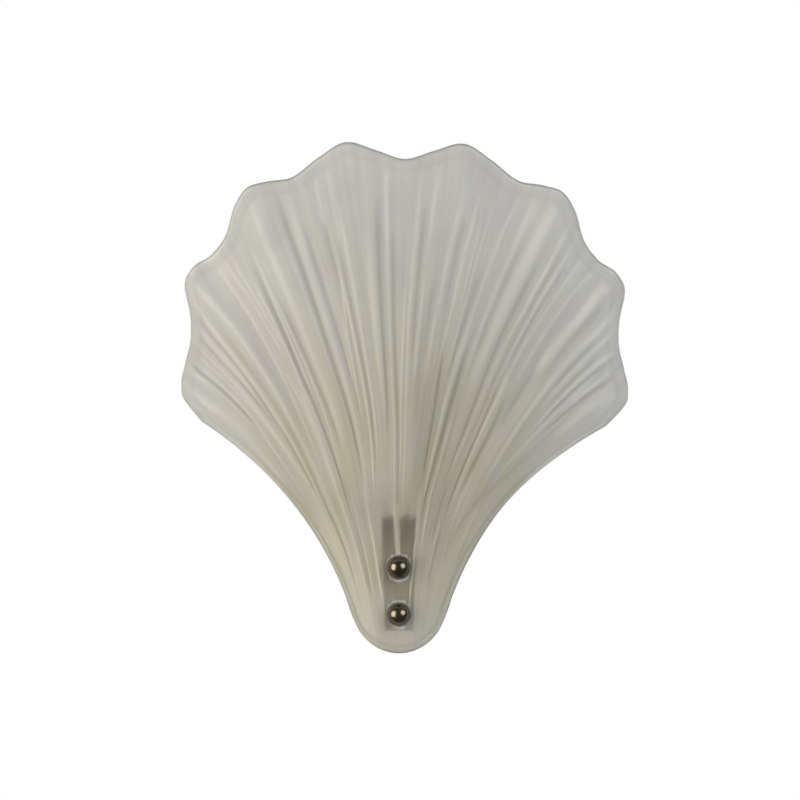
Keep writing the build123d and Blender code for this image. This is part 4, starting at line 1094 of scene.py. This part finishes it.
# Depth of the fine threads of studs and nuts, and of the nipple's
STUD_THREAD = 0.2 * MM
NIPPLE_THREAD = 0.25 * MM
# Number and depth of the cap's grip flutes
GRIP_FLUTES = 24
FLUTE_DEPTH = 0.5 * MM
# Depth of the wave that is rolled into the brass liner
LINER_WAVE = 0.35 * MM
# Half the thickness of the filament's supports and wire, and the coil's radius, ends (as shares of the
# route), points in a turn, and turns
SUPPORT_RADIUS = 0.16 * MM
WIRE_RADIUS = 0.07 * MM
COIL_RADIUS = 0.30 * MM
COIL_ENDS = (0.13, 0.87)
COIL_SIDES = 14
COIL_TURNS = 190


class SCONCE_OT_glass_shell(Operator):
    """Frosted glass shell with its lobes, ribs, rounded edges and two drilled holes"""

    bl_idname = "sconce.glass_shell"
    bl_label = "Glass shell"

    def execute(self, context):
        glass, fixing = context.scene.sconce_glass, context.scene.sconce_fixing
        side, t = np.meshgrid(side_places(glass), row_places(glass), indexing="ij")
        distances = outline_distances(glass, side, t)
        relief = rib_height(side, t) + edge_groove(distances)
        front = glass_surface(glass, side, t, 1, relief)
        back = glass_surface(glass, side, t, -1, 0)
        count = side.size
        front_index = np.arange(count).reshape(side.shape)
        back_index = front_index + count
        for edge in (np.s_[0, :], np.s_[-1, :], np.s_[:, 0], np.s_[:, -1]):
            back_index[edge] = front_index[edge]
        faces = np.concatenate([grid_faces(front_index), grid_faces(back_index)[:, ::-1]])
        used, faces = np.unique(faces, return_inverse=True)
        edge_tone = np.exp(-(np.minimum(*distances) / glass.edge_tint_width)**2).ravel()
        ribs = relief.ravel() / RIB_LIMIT
        clear = clearness(glass, side, front, relief)
        values = {
            "edge": np.tile(edge_tone, 2),
            "rib": np.concatenate([ribs, 0 * ribs]),
            "up_the_rib": np.tile(t.ravel(), 2),
            "across": np.tile(side.ravel(), 2),
            "front": np.repeat([1.0, 0.0], count),
            "clear": np.tile(clear.ravel(), 2),
        }
        points = np.concatenate([front.reshape(-1, 3), back.reshape(-1, 3)])[used]
        piece = mesh_piece("frosted_glass_shell", points, faces.reshape(-1, 4), "root",
                           {label: value[used] for label, value in values.items()})
        cut(piece, [self.cutter(glass, z) for z in (fixing.lower_stud_z, fixing.upper_stud_z)])
        piece.data.set_sharp_from_angle(angle=math.radians(40))
        dress(piece, glass_finish(glass), "glass_shell")
        return {"FINISHED"}

    def cutter(self, glass, z):
        """Drill and two face mills on one axis, as a stepped solid of revolution."""
        hole, seat, mill = glass.hole / 2, glass.seat / 2, 6 * MM
        front = glass.front_depth - glass.seat_grind
        back = glass.front_depth - glass.wall + glass.seat_grind
        profile = [(0, back - mill), (seat, back - mill), (seat, back), (hole, back), (hole, front),
                   (seat, front), (seat, front + mill), (0, front + mill)]
        return turned_piece(f"cutter_{z:.3f}", profile, "root", ("level", 0.0, z))


class SCONCE_OT_fixings(Operator):
    """Two threaded studs, clear washers and polished ball nuts with a blind threaded bore"""

    bl_idname = "sconce.fixings"
    bl_label = "Studs, washers and ball nuts"

    def execute(self, context):
        fixing = context.scene.sconce_fixing
        nickel, zinc, clear = nickel_finish(fixing), finish("zinc_steel"), clear_washer_finish()
        base, mouth = fixing.nut_base, fixing.bore / 2 - STUD_THREAD / 2
        nut_thread = thread(fixing.pitch, -STUD_THREAD, mouth, base, base + fixing.bore_depth)
        for place, z in (("lower", fixing.lower_stud_z), ("upper", fixing.upper_stud_z)):
            axis = ("level", 0.0, z)
            nut = turned_piece(f"{place}_polished_nut", self.nut(fixing), f"{place}_nut", axis, 96,
                               nut_thread)
            dress(nut, nickel, f"{place}_ball_nut")
            low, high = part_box(f"{place}_stud")
            back, front = -high.y, -low.y
            stud_thread = thread(fixing.pitch, STUD_THREAD, fixing.stud / 2, back + fixing.flange, front)
            stud = turned_piece(f"{place}_threaded_stud", self.stud(fixing, back, front), "root", axis, 40,
                                stud_thread)
            dress(stud, zinc, f"{place}_stud")
            washer = turned_piece(f"{place}_eased_washer", self.washer(fixing, f"{place}_outer_washer"),
                                  f"{place}_washer", axis, 80)
            dress(washer, clear, f"{place}_outer_washer")
        return {"FINISHED"}

    def nut(self, fixing):
        """Bore bottom, threaded bore wall, eased mouth, flat foot and the ball, as radius and depth."""
        ball, foot, bore, base = fixing.ball / 2, fixing.foot / 2, fixing.bore / 2, fixing.nut_base
        ease, end = 0.35 * MM, base + fixing.bore_depth
        centre = base + math.sqrt(ball**2 - foot**2)
        lowest = math.asin(foot / ball)
        points = [(0, end)]
        points += straight(bore - STUD_THREAD / 2, end - bore / 2, base + ease, fixing.pitch / 10)
        points += [(bore + ease, base), (foot - ease / 2, base)]
        turns = np.linspace(math.pi - lowest, 0, 56)
        return points + [(ball * math.sin(a), centre + ball * math.cos(a)) for a in turns]

    def stud(self, fixing, back, front):
        """Pressed-in flange and threaded shank with a chamfered end, as radius and depth."""
        flange, shank, chamfer = fixing.flange_width / 2, fixing.stud / 2, 0.4 * MM
        points = list(rounded([(0, back), (flange, back), (flange, back + fixing.flange),
                               (shank, back + fixing.flange)], 0.3 * MM))
        points += straight(shank, back + fixing.flange + 0.1 * MM, front - chamfer, fixing.pitch / 10)
        return points + [(shank - chamfer, front), (0, front)]

    def washer(self, fixing, name):
        """A flat ring with all its edges eased, from the node's box."""
        low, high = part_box(name)
        inner, outer, back, front = fixing.bore / 2, (high.x - low.x) / 2, -high.y, -low.y
        corners = [(inner, back), (outer, back), (outer, front), (inner, front)]
        return rounded(corners, 0.35 * MM, 5, closed=True)


class SCONCE_OT_lampholder(Operator):
    """Threaded nipple with its nut, bell-shaped cap, skirt and threaded liner"""

    bl_idname = "sconce.lampholder"
    bl_label = "Lampholder"

    def execute(self, context):
        lamp = context.scene.sconce_lamp
        axis = ("upright", 0.0, lamp.depth)
        plastic, zinc = finish("holder_plastic"), finish("zinc_steel")
        low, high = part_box("lampholder_nipple")
        bore, outside, chamfer = lamp.nipple_bore / 2, (high.x - low.x) / 2, 0.3 * MM
        nipple = [(bore, low.z), (bore, high.z), (outside - chamfer, high.z)]
        nipple += straight(outside, high.z - chamfer, low.z + chamfer, 0.1 * MM)
        nipple += [(outside - chamfer, low.z), (bore, low.z)]
        nipple_thread = thread(lamp.nipple_pitch, NIPPLE_THREAD, outside, low.z, high.z)
        dress(turned_piece("threaded_nipple", nipple, "root", axis, 64, nipple_thread), zinc,
              "lampholder_nipple")
        dress(turned_piece("hexagon_nut", self.nut_profile(outside), "root", axis, 120, self.hexagon), zinc,
              "nipple_nut")
        dress(turned_piece("bell_cap", self.cap_profile(lamp, outside), "root", axis, 192, self.fluted),
              plastic, "lampholder_cap")
        dress(turned_piece("skirt_sleeve", self.skirt_profile(lamp), "root", axis, 96), plastic,
              "lampholder_skirt")
        dress(self.liner(lamp, axis), finish("contact_brass"), "lampholder_liner")
        return {"FINISHED"}

    def nut_profile(self, bore):
        """A plain ring as wide as the nut over its corners, which hexagon then shapes."""
        low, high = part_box("nipple_nut")
        corner, inner = max(high.x - low.x, high.y - low.y) / 2, bore + PLAY
        levels = np.linspace(high.z, low.z, 14)
        return [(inner, low.z), (inner, high.z)] + [(corner, z) for z in levels] + [(inner, low.z)]

    def hexagon(self, radius, height, turn):
        """Flats at the apothem over the cosine of the angle from each, under a cone at both ends."""
        low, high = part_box("nipple_nut")
        corner = radius.max()
        apothem = corner * math.cos(math.pi / 6)
        offset = 0.0 if (high.x - low.x) > (high.y - low.y) else math.pi / 6
        away = np.mod(2 * np.pi * turn + offset, math.pi / 3) - math.pi / 6
        nearest_end = np.minimum(height - low.z, high.z - height)
        cone = apothem + nearest_end / math.tan(math.pi / 6)
        return np.where(np.isclose(radius, corner), np.minimum(apothem / np.cos(away), cone), radius)

    def cap_profile(self, lamp, nipple):
        """Outside of neck, flare and grip, then the inside, as radius and height."""
        low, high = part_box("lampholder_cap")
        body, neck, wall = (high.x - low.x) / 2, lamp.neck / 2, lamp.wall
        floor, flare = low.z + lamp.cap_floor, low.z + 2 * lamp.cap_floor
        grip = [(body, z) for z in np.linspace(flare + 1.2 * MM, high.z - 0.8 * MM, 14)]
        hole = nipple + PLAY
        corners = [(hole, low.z), (neck, low.z), (neck, floor - 1 * MM), (body, flare)]
        points = list(rounded(corners + [grip[0]], 1.6 * MM, 6)) + grip[1:]
        inside = [grip[-1], (body, high.z), (body - wall, high.z), (body - wall, flare + 1 * MM),
                  (neck - wall, floor), (hole, floor), (hole, low.z)]
        return points + list(rounded(inside, 0.4 * MM, 3))[1:]

    def fluted(self, radius, height, turn):
        """Grip flutes round the cap's cylinder: narrow dips that run out at both ends."""
        low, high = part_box("lampholder_cap")
        body = (high.x - low.x) / 2
        start, end = low.z + 0.68 * (high.z - low.z), high.z - 0.9 * MM
        window = smooth((height - start) / MM) * smooth((end - height) / MM)
        dip = (0.5 - 0.5 * np.cos(2 * np.pi * GRIP_FLUTES * turn))**3 * FLUTE_DEPTH
        return np.where(radius > body - 0.05 * MM, radius - dip * window, radius)

    def skirt_profile(self, lamp):
        """A sleeve with a rounded lip that turns in at the top and two bead lines, as radius and height."""
        low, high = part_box("lampholder_skirt")
        outer, wall, lip = (high.x - low.x) / 2, lamp.wall, lamp.lip_bore / 2
        bead = 0.25 * MM
        corners = [(outer - wall, low.z), (outer - bead, low.z)]
        for share_up in (0.12, 0.86):
            z = low.z + share_up * (high.z - low.z)
            corners += [(outer - bead, z - 1.2 * MM), (outer, z - 0.9 * MM), (outer, z + 0.9 * MM),
                        (outer - bead, z + 1.2 * MM)]
        corners += [(outer - bead, high.z), (lip, high.z), (lip, high.z - wall)]
        corners += [(outer - wall, high.z - wall), (outer - wall, low.z)]
        return rounded(corners, 0.5 * MM)

    def liner(self, lamp, axis):
        """Thin brass sleeve rolled into a thread, on a flat flange."""
        low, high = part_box("lampholder_liner")
        bore, wall, flange = lamp.liner_bore / 2, lamp.liner_wall, (high.x - low.x) / 2
        base = low.z + 2 * wall
        inside = straight(bore, high.z, base + 0.6 * MM, lamp.lamp_pitch / 12)
        outside = straight(bore + wall, base + 0.6 * MM, high.z, lamp.lamp_pitch / 12)
        profile = inside + [(bore, base), (bore - 1 * MM, base), (bore - 1 * MM, low.z), (flange, low.z),
                            (flange, base), (bore + wall, base)] + outside + [inside[0]]

        def rolled(radius, height, turn):
            """A cosine wave on both faces of the sleeve, faded in and out over 3 mm at its ends."""
            fade = smooth((height - base) / (3 * MM)) * smooth((high.z - 3 * MM - height) / (3 * MM))
            wave = 0.5 + 0.5 * np.cos(2 * np.pi * (height / lamp.lamp_pitch - turn))
            on_sleeve = (radius > bore - 0.1 * MM) & (radius < bore + wall + 0.1 * MM) & (height > base)
            return np.where(on_sleeve, radius + LINER_WAVE * wave * fade, radius)
        return turned_piece("rolled_liner", profile, "root", axis, 72, rolled)


class SCONCE_OT_lamp(Operator):
    """Tubular lamp: screw cap with a rolled thread, clear bulb, inner stem, supports and coiled filament"""

    bl_idname = "sconce.lamp"
    bl_label = "Lamp"

    def execute(self, context):
        lamp = context.scene.sconce_lamp
        axis = ("upright", 0.0, lamp.depth)
        clear = clear_glass_finish()
        dress(self.cap(lamp, axis), finish("bulb_cap_metal"), "bulb_screw_cap")
        dress(turned_piece("clear_bulb", self.bulb_profile(lamp), "bulb", axis, 96), clear, "bulb_envelope")
        dress(turned_piece("flared_stem", self.stem_profile(lamp), "bulb", axis, 48), clear, "bulb_stem")
        route, metal = self.filament_route(), finish("filament_metal")
        supports = wire_piece("filament_supports", self.spaced(route, 0.0, 1.0, 500), SUPPORT_RADIUS, "bulb")
        dress(supports, metal, "bulb_filament")
        coil = wire_piece("filament_coil", self.coil_route(route), WIRE_RADIUS, "bulb", 5)
        coil.data.materials.append(metal)
        return {"FINISHED"}

    def cap(self, lamp, axis):
        """Outer wall rolled into a thread, plain inside, closed below and open above."""
        low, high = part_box("bulb_screw_cap")
        crest = (high.x - low.x) / 2
        root, wall = crest - lamp.lamp_thread, lamp.cap_wall
        ease = 0.5 * MM
        profile = [(0, low.z), (root - ease, low.z)]
        profile += straight(root, low.z + ease, high.z - 0.2 * MM, lamp.lamp_pitch / 14)
        profile += [(root - 0.1 * MM, high.z), (root - wall, high.z), (root - wall, low.z + wall)]
        profile += [(0, low.z + wall)]
        rolled = thread(lamp.lamp_pitch, -lamp.lamp_thread, root, low.z + 1 * MM, high.z - 4 * MM)

        def shape(radius, height, turn):
            """The thread stands out from the root, highest where the wave of the liner is."""
            return rolled(radius, height, turn + 0.5)
        return turned_piece("rolled_screw_cap", profile, "bulb", axis, 72, shape)

    def bulb_profile(self, lamp):
        """Outside of neck, shoulder, tube and dome, then the inside, as radius and height."""
        low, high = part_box("bulb_envelope")
        body, neck = (high.x - low.x) / 2, lamp.bulb_neck / 2
        throat, dome = low.z + lamp.neck_length, high.z - body
        levels = (low.z, throat, throat + lamp.shoulder, dome)
        outside = self.bulb_line(neck, body, *levels)
        inside = self.bulb_line(neck - lamp.bulb_wall, body - lamp.bulb_wall, *levels)
        return outside + inside[::-1] + [outside[0]]

    def bulb_line(self, neck, body, low, throat, shoulder, dome):
        """Up the neck, along an S curve to the tube's radius, up the tube and over a half circle."""
        line = [(neck, low), (neck, (low + throat) / 2)]
        line += [(neck + (body - neck) * smooth(s), throat + (shoulder - throat) * s)
                 for s in np.linspace(0, 1, 24)]
        line += [(body, z) for z in np.linspace(shoulder, dome, 12)[1:]]
        turns = np.linspace(0, math.pi / 2, 22)[1:]
        return line + [(body * math.cos(a), dome + body * math.sin(a)) for a in turns]

    def stem_profile(self, lamp):
        """Flared foot, slim stem and a flattened top, as radius and height."""
        low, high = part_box("bulb_stem")
        flare, slim = (high.x - low.x) / 2, lamp.stem / 2
        corners = [(0, low.z), (flare, low.z), (flare, low.z + 1 * MM), (slim + 1 * MM, low.z + 5 * MM),
                   (slim, low.z + 10 * MM), (slim, high.z - 1 * MM), (slim * 0.8, high.z), (0, high.z)]
        return rounded(corners, 2 * MM, 6)

    def filament_route(self):
        """The wire's route as places in the node's box: out and up, down to a dip, up and back in."""
        low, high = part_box("bulb_filament")
        inner, wide, depth = 1.6 * MM, high.x - 0.35 * MM, -(low.y + high.y) / 2
        foot, top, dip = low.z, high.z - 0.5 * MM, low.z + 14 * MM
        left = [(-inner, foot), (-inner, foot + 4 * MM), (-wide, foot + 12 * MM), (-wide, top)]
        left += [(-wide / 3, dip)]
        right = [(-x, z) for x, z in left[::-1]]
        eased = rounded(left + right, 1.6 * MM, 8)
        return np.stack([eased[:, 0], np.full(len(eased), -depth), eased[:, 1]], axis=-1)

    def spaced(self, route, start, end, count):
        """Points at equal distances along a part of the route."""
        lengths = np.concatenate([[0], np.cumsum(np.linalg.norm(np.diff(route, axis=0), axis=1))])
        places = np.linspace(start, end, count) * lengths[-1]
        return np.stack([np.interp(places, lengths, route[:, i]) for i in range(3)], axis=-1)

    def coil_route(self, route):
        """A fine helix round the route between the supports, with as many points as turns times sides."""
        steps = COIL_SIDES * COIL_TURNS
        line = self.spaced(route, *COIL_ENDS, steps)
        along = np.gradient(line, axis=0)
        along /= np.linalg.norm(along, axis=1, keepdims=True)
        forward = np.array([0.0, 1.0, 0.0])
        across = np.cross(along, forward)
        turn = 2 * np.pi * np.arange(steps)[:, None] / COIL_SIDES
        return line + COIL_RADIUS * (across * np.cos(turn) + forward * np.sin(turn))


class SCONCE_OT_finishes(Operator):
    """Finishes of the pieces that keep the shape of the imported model"""

    bl_idname = "sconce.finishes"
    bl_label = "Finishes"

    def execute(self, context):
        finishes = {}
        for name, piece in frame["nodes"].items():
            if piece.hide_render:
                continue
            if SLOTS[name] not in finishes:
                finishes[SLOTS[name]] = finish(SLOTS[name])
            for slot in piece.material_slots:
                slot.material = finishes[SLOTS[name]]
        return {"FINISHED"}


class SCONCE_OT_stage(Operator):
    """Camera, soft lamps, pale surroundings and floor"""

    bl_idname = "sconce.stage"
    bl_label = "Stage"

    def execute(self, context):
        stage = context.scene.sconce_stage
        context.scene.view_settings.view_transform = "Standard"
        self.camera(context, stage)
        self.lamp(context, stage, "left_lamp", stage.left_size, -stage.left_turn, stage.left_rise,
                  stage.left_power, stage.left_colour)
        self.lamp(context, stage, "right_lamp", stage.right_size, stage.right_turn, stage.right_rise,
                  stage.right_power, stage.right_colour)
        self.surroundings(context, stage)
        self.floor(stage)
        return {"FINISHED"}

    def camera(self, context, stage):
        """A long lens, level and square to the wall, as the picture was taken."""
        data = bpy.data.cameras.new("camera")
        data.lens = data.sensor_width * (stage.camera_distance - stage.view_depth) / stage.view_width
        data.clip_end = 100.0
        camera = bpy.data.objects.new("camera", data)
        context.scene.collection.objects.link(camera)
        camera.location = (stage.camera_x, -stage.camera_distance, stage.camera_z)
        camera.rotation_euler = (math.pi / 2, 0, 0)
        context.scene.camera = camera

    def lamp(self, context, stage, name, size, turn, rise, power, tone):
        """A large soft lamp in front of the shell, at an angle to the side and up, aimed at it."""
        data = bpy.data.lights.new(name, "AREA")
        data.shape = "ELLIPSE"
        data.size = size
        data.size_y = size
        data.energy = power
        data.color = tone
        lamp = bpy.data.objects.new(name, data)
        context.scene.collection.objects.link(lamp)
        away = stage.lamp_distance
        lamp.location = (away * math.sin(turn) * math.cos(rise), -away * math.cos(turn) * math.cos(rise),
                         away * math.sin(rise))
        lamp.rotation_euler = (math.pi / 2 - rise, 0, turn)
        lamp.visible_camera = False

    def surroundings(self, context, stage):
        """White behind everything that is seen, and dim in front of polished metal."""
        world = bpy.data.worlds.new("surroundings")
        context.scene.world = world
        world.use_nodes = True
        tree = world.node_tree
        tree.nodes.clear()
        place = node(tree, "ShaderNodeTexCoord")
        depth = node(tree, "ShaderNodeSeparateXYZ", {"Vector": place.outputs["Generated"]}).outputs["Y"]
        around = ranged(tree, depth, -0.6, 0.6, stage.front_ambient, stage.back_ambient)
        behind = ranged(tree, depth, 0.0, 0.7, stage.front_dimness, 1.0)
        matt, polished, plain = (
            node(tree, "ShaderNodeBackground", {"Color": (1.0, 1.0, 1.0), "Strength": strength})
            for strength in (around, behind, 1.0))
        glossy = node(tree, "ShaderNodeLightPath").outputs["Is Glossy Ray"]
        lit = mix_shaders(tree, glossy, matt, polished)
        shown = mix_shaders(tree, seen_rays(tree), lit, plain)
        out = tree.nodes.new("ShaderNodeOutputWorld")
        tree.links.new(shown.outputs[0], out.inputs["Surface"])

    def floor(self, stage):
        """A round pale floor below the light: rings of points at equal steps of the radius."""
        steps, rows = 96, 16
        radius = np.linspace(0, stage.floor_size / 2, rows)[:, None]
        turn = 2 * np.pi * np.arange(steps)[None, :] / steps
        level = np.full((rows, steps), -stage.floor_drop)
        points = np.stack([radius * np.cos(turn), radius * np.sin(turn), level], axis=-1)
        index = rings(np.arange(rows * steps).reshape(rows, steps))
        floor = mesh_piece("floor", points.reshape(-1, 3), grid_faces(index), None)
        close_and_face_out(floor.data)
        floor.visible_glossy = False
        floor.data.materials.append(self.floor_finish(stage))

    def floor_finish(self, stage):
        """Matt and pale, and towards the rim white to the eye, so that it runs into the background."""
        tone = tuple(stage.floor_colour)
        material = plain_finish("floor", tone, tuple(c * 0.98 for c in tone), (0.8, 0.9), 3.0)
        tree = material.node_tree
        place = node(tree, "ShaderNodeTexCoord")
        flat = multiplied(tree, place.outputs["Object"], (1.0, 1.0, 0.0))
        away = node(tree, "ShaderNodeVectorMath", {0: flat}, operation="LENGTH").outputs["Value"]
        pale = ranged(tree, away, 0.0, stage.floor_size / 2, 0.35, 1.0)
        glow = node(tree, "ShaderNodeEmission", {"Color": (1.0, 1.0, 1.0), "Strength": 1.0})
        factor = math_node(tree, "MULTIPLY", pale, seen_rays(tree))
        mixed = mix_shaders(tree, factor, tree.nodes["Principled BSDF"], glow)
        tree.links.new(mixed.outputs[0], tree.nodes["Material Output"].inputs["Surface"])
        return material


# ---- panel and registration ---------------------------------------------------------------------

SETTINGS = {"sconce_glass": GlassSettings, "sconce_fixing": FixingSettings, "sconce_lamp": LampSettings,
            "sconce_stage": StageSettings}
OPERATORS = (SCONCE_OT_glass_shell, SCONCE_OT_fixings, SCONCE_OT_lampholder, SCONCE_OT_lamp,
             SCONCE_OT_finishes, SCONCE_OT_stage)


class SCONCE_PT_panel(Panel):
    """The light's settings and the operators that make its pieces."""

    bl_idname = "SCONCE_PT_panel"
    bl_label = "Shell wall sconce"
    bl_space_type = "VIEW_3D"
    bl_region_type = "UI"
    bl_category = "Sconce"

    def draw(self, context):
        for name in SETTINGS:
            box = self.layout.box()
            group = getattr(context.scene, name)
            for prop in group.bl_rna.properties:
                if prop.identifier not in ("rna_type", "name"):
                    box.prop(group, prop.identifier)
        for operator in OPERATORS:
            self.layout.operator(operator.bl_idname)


def register():
    """Makes the settings, operators and panel known to Blender."""
    for made in (*SETTINGS.values(), *OPERATORS, SCONCE_PT_panel):
        bpy.utils.register_class(made)
    for name, group in SETTINGS.items():
        setattr(bpy.types.Scene, name, PointerProperty(type=group))


def unregister():
    """Takes them away again."""
    for name in SETTINGS:
        delattr(bpy.types.Scene, name)
    for made in (SCONCE_PT_panel, *OPERATORS[::-1], *reversed(SETTINGS.values())):
        bpy.utils.unregister_class(made)


def main():
    """Makes every piece in order."""
    register()
    bpy.ops.sconce.glass_shell()
    bpy.ops.sconce.fixings()
    bpy.ops.sconce.lampholder()
    bpy.ops.sconce.lamp()
    bpy.ops.sconce.finishes()
    bpy.ops.sconce.stage()


if __name__ == "__main__":
    main()
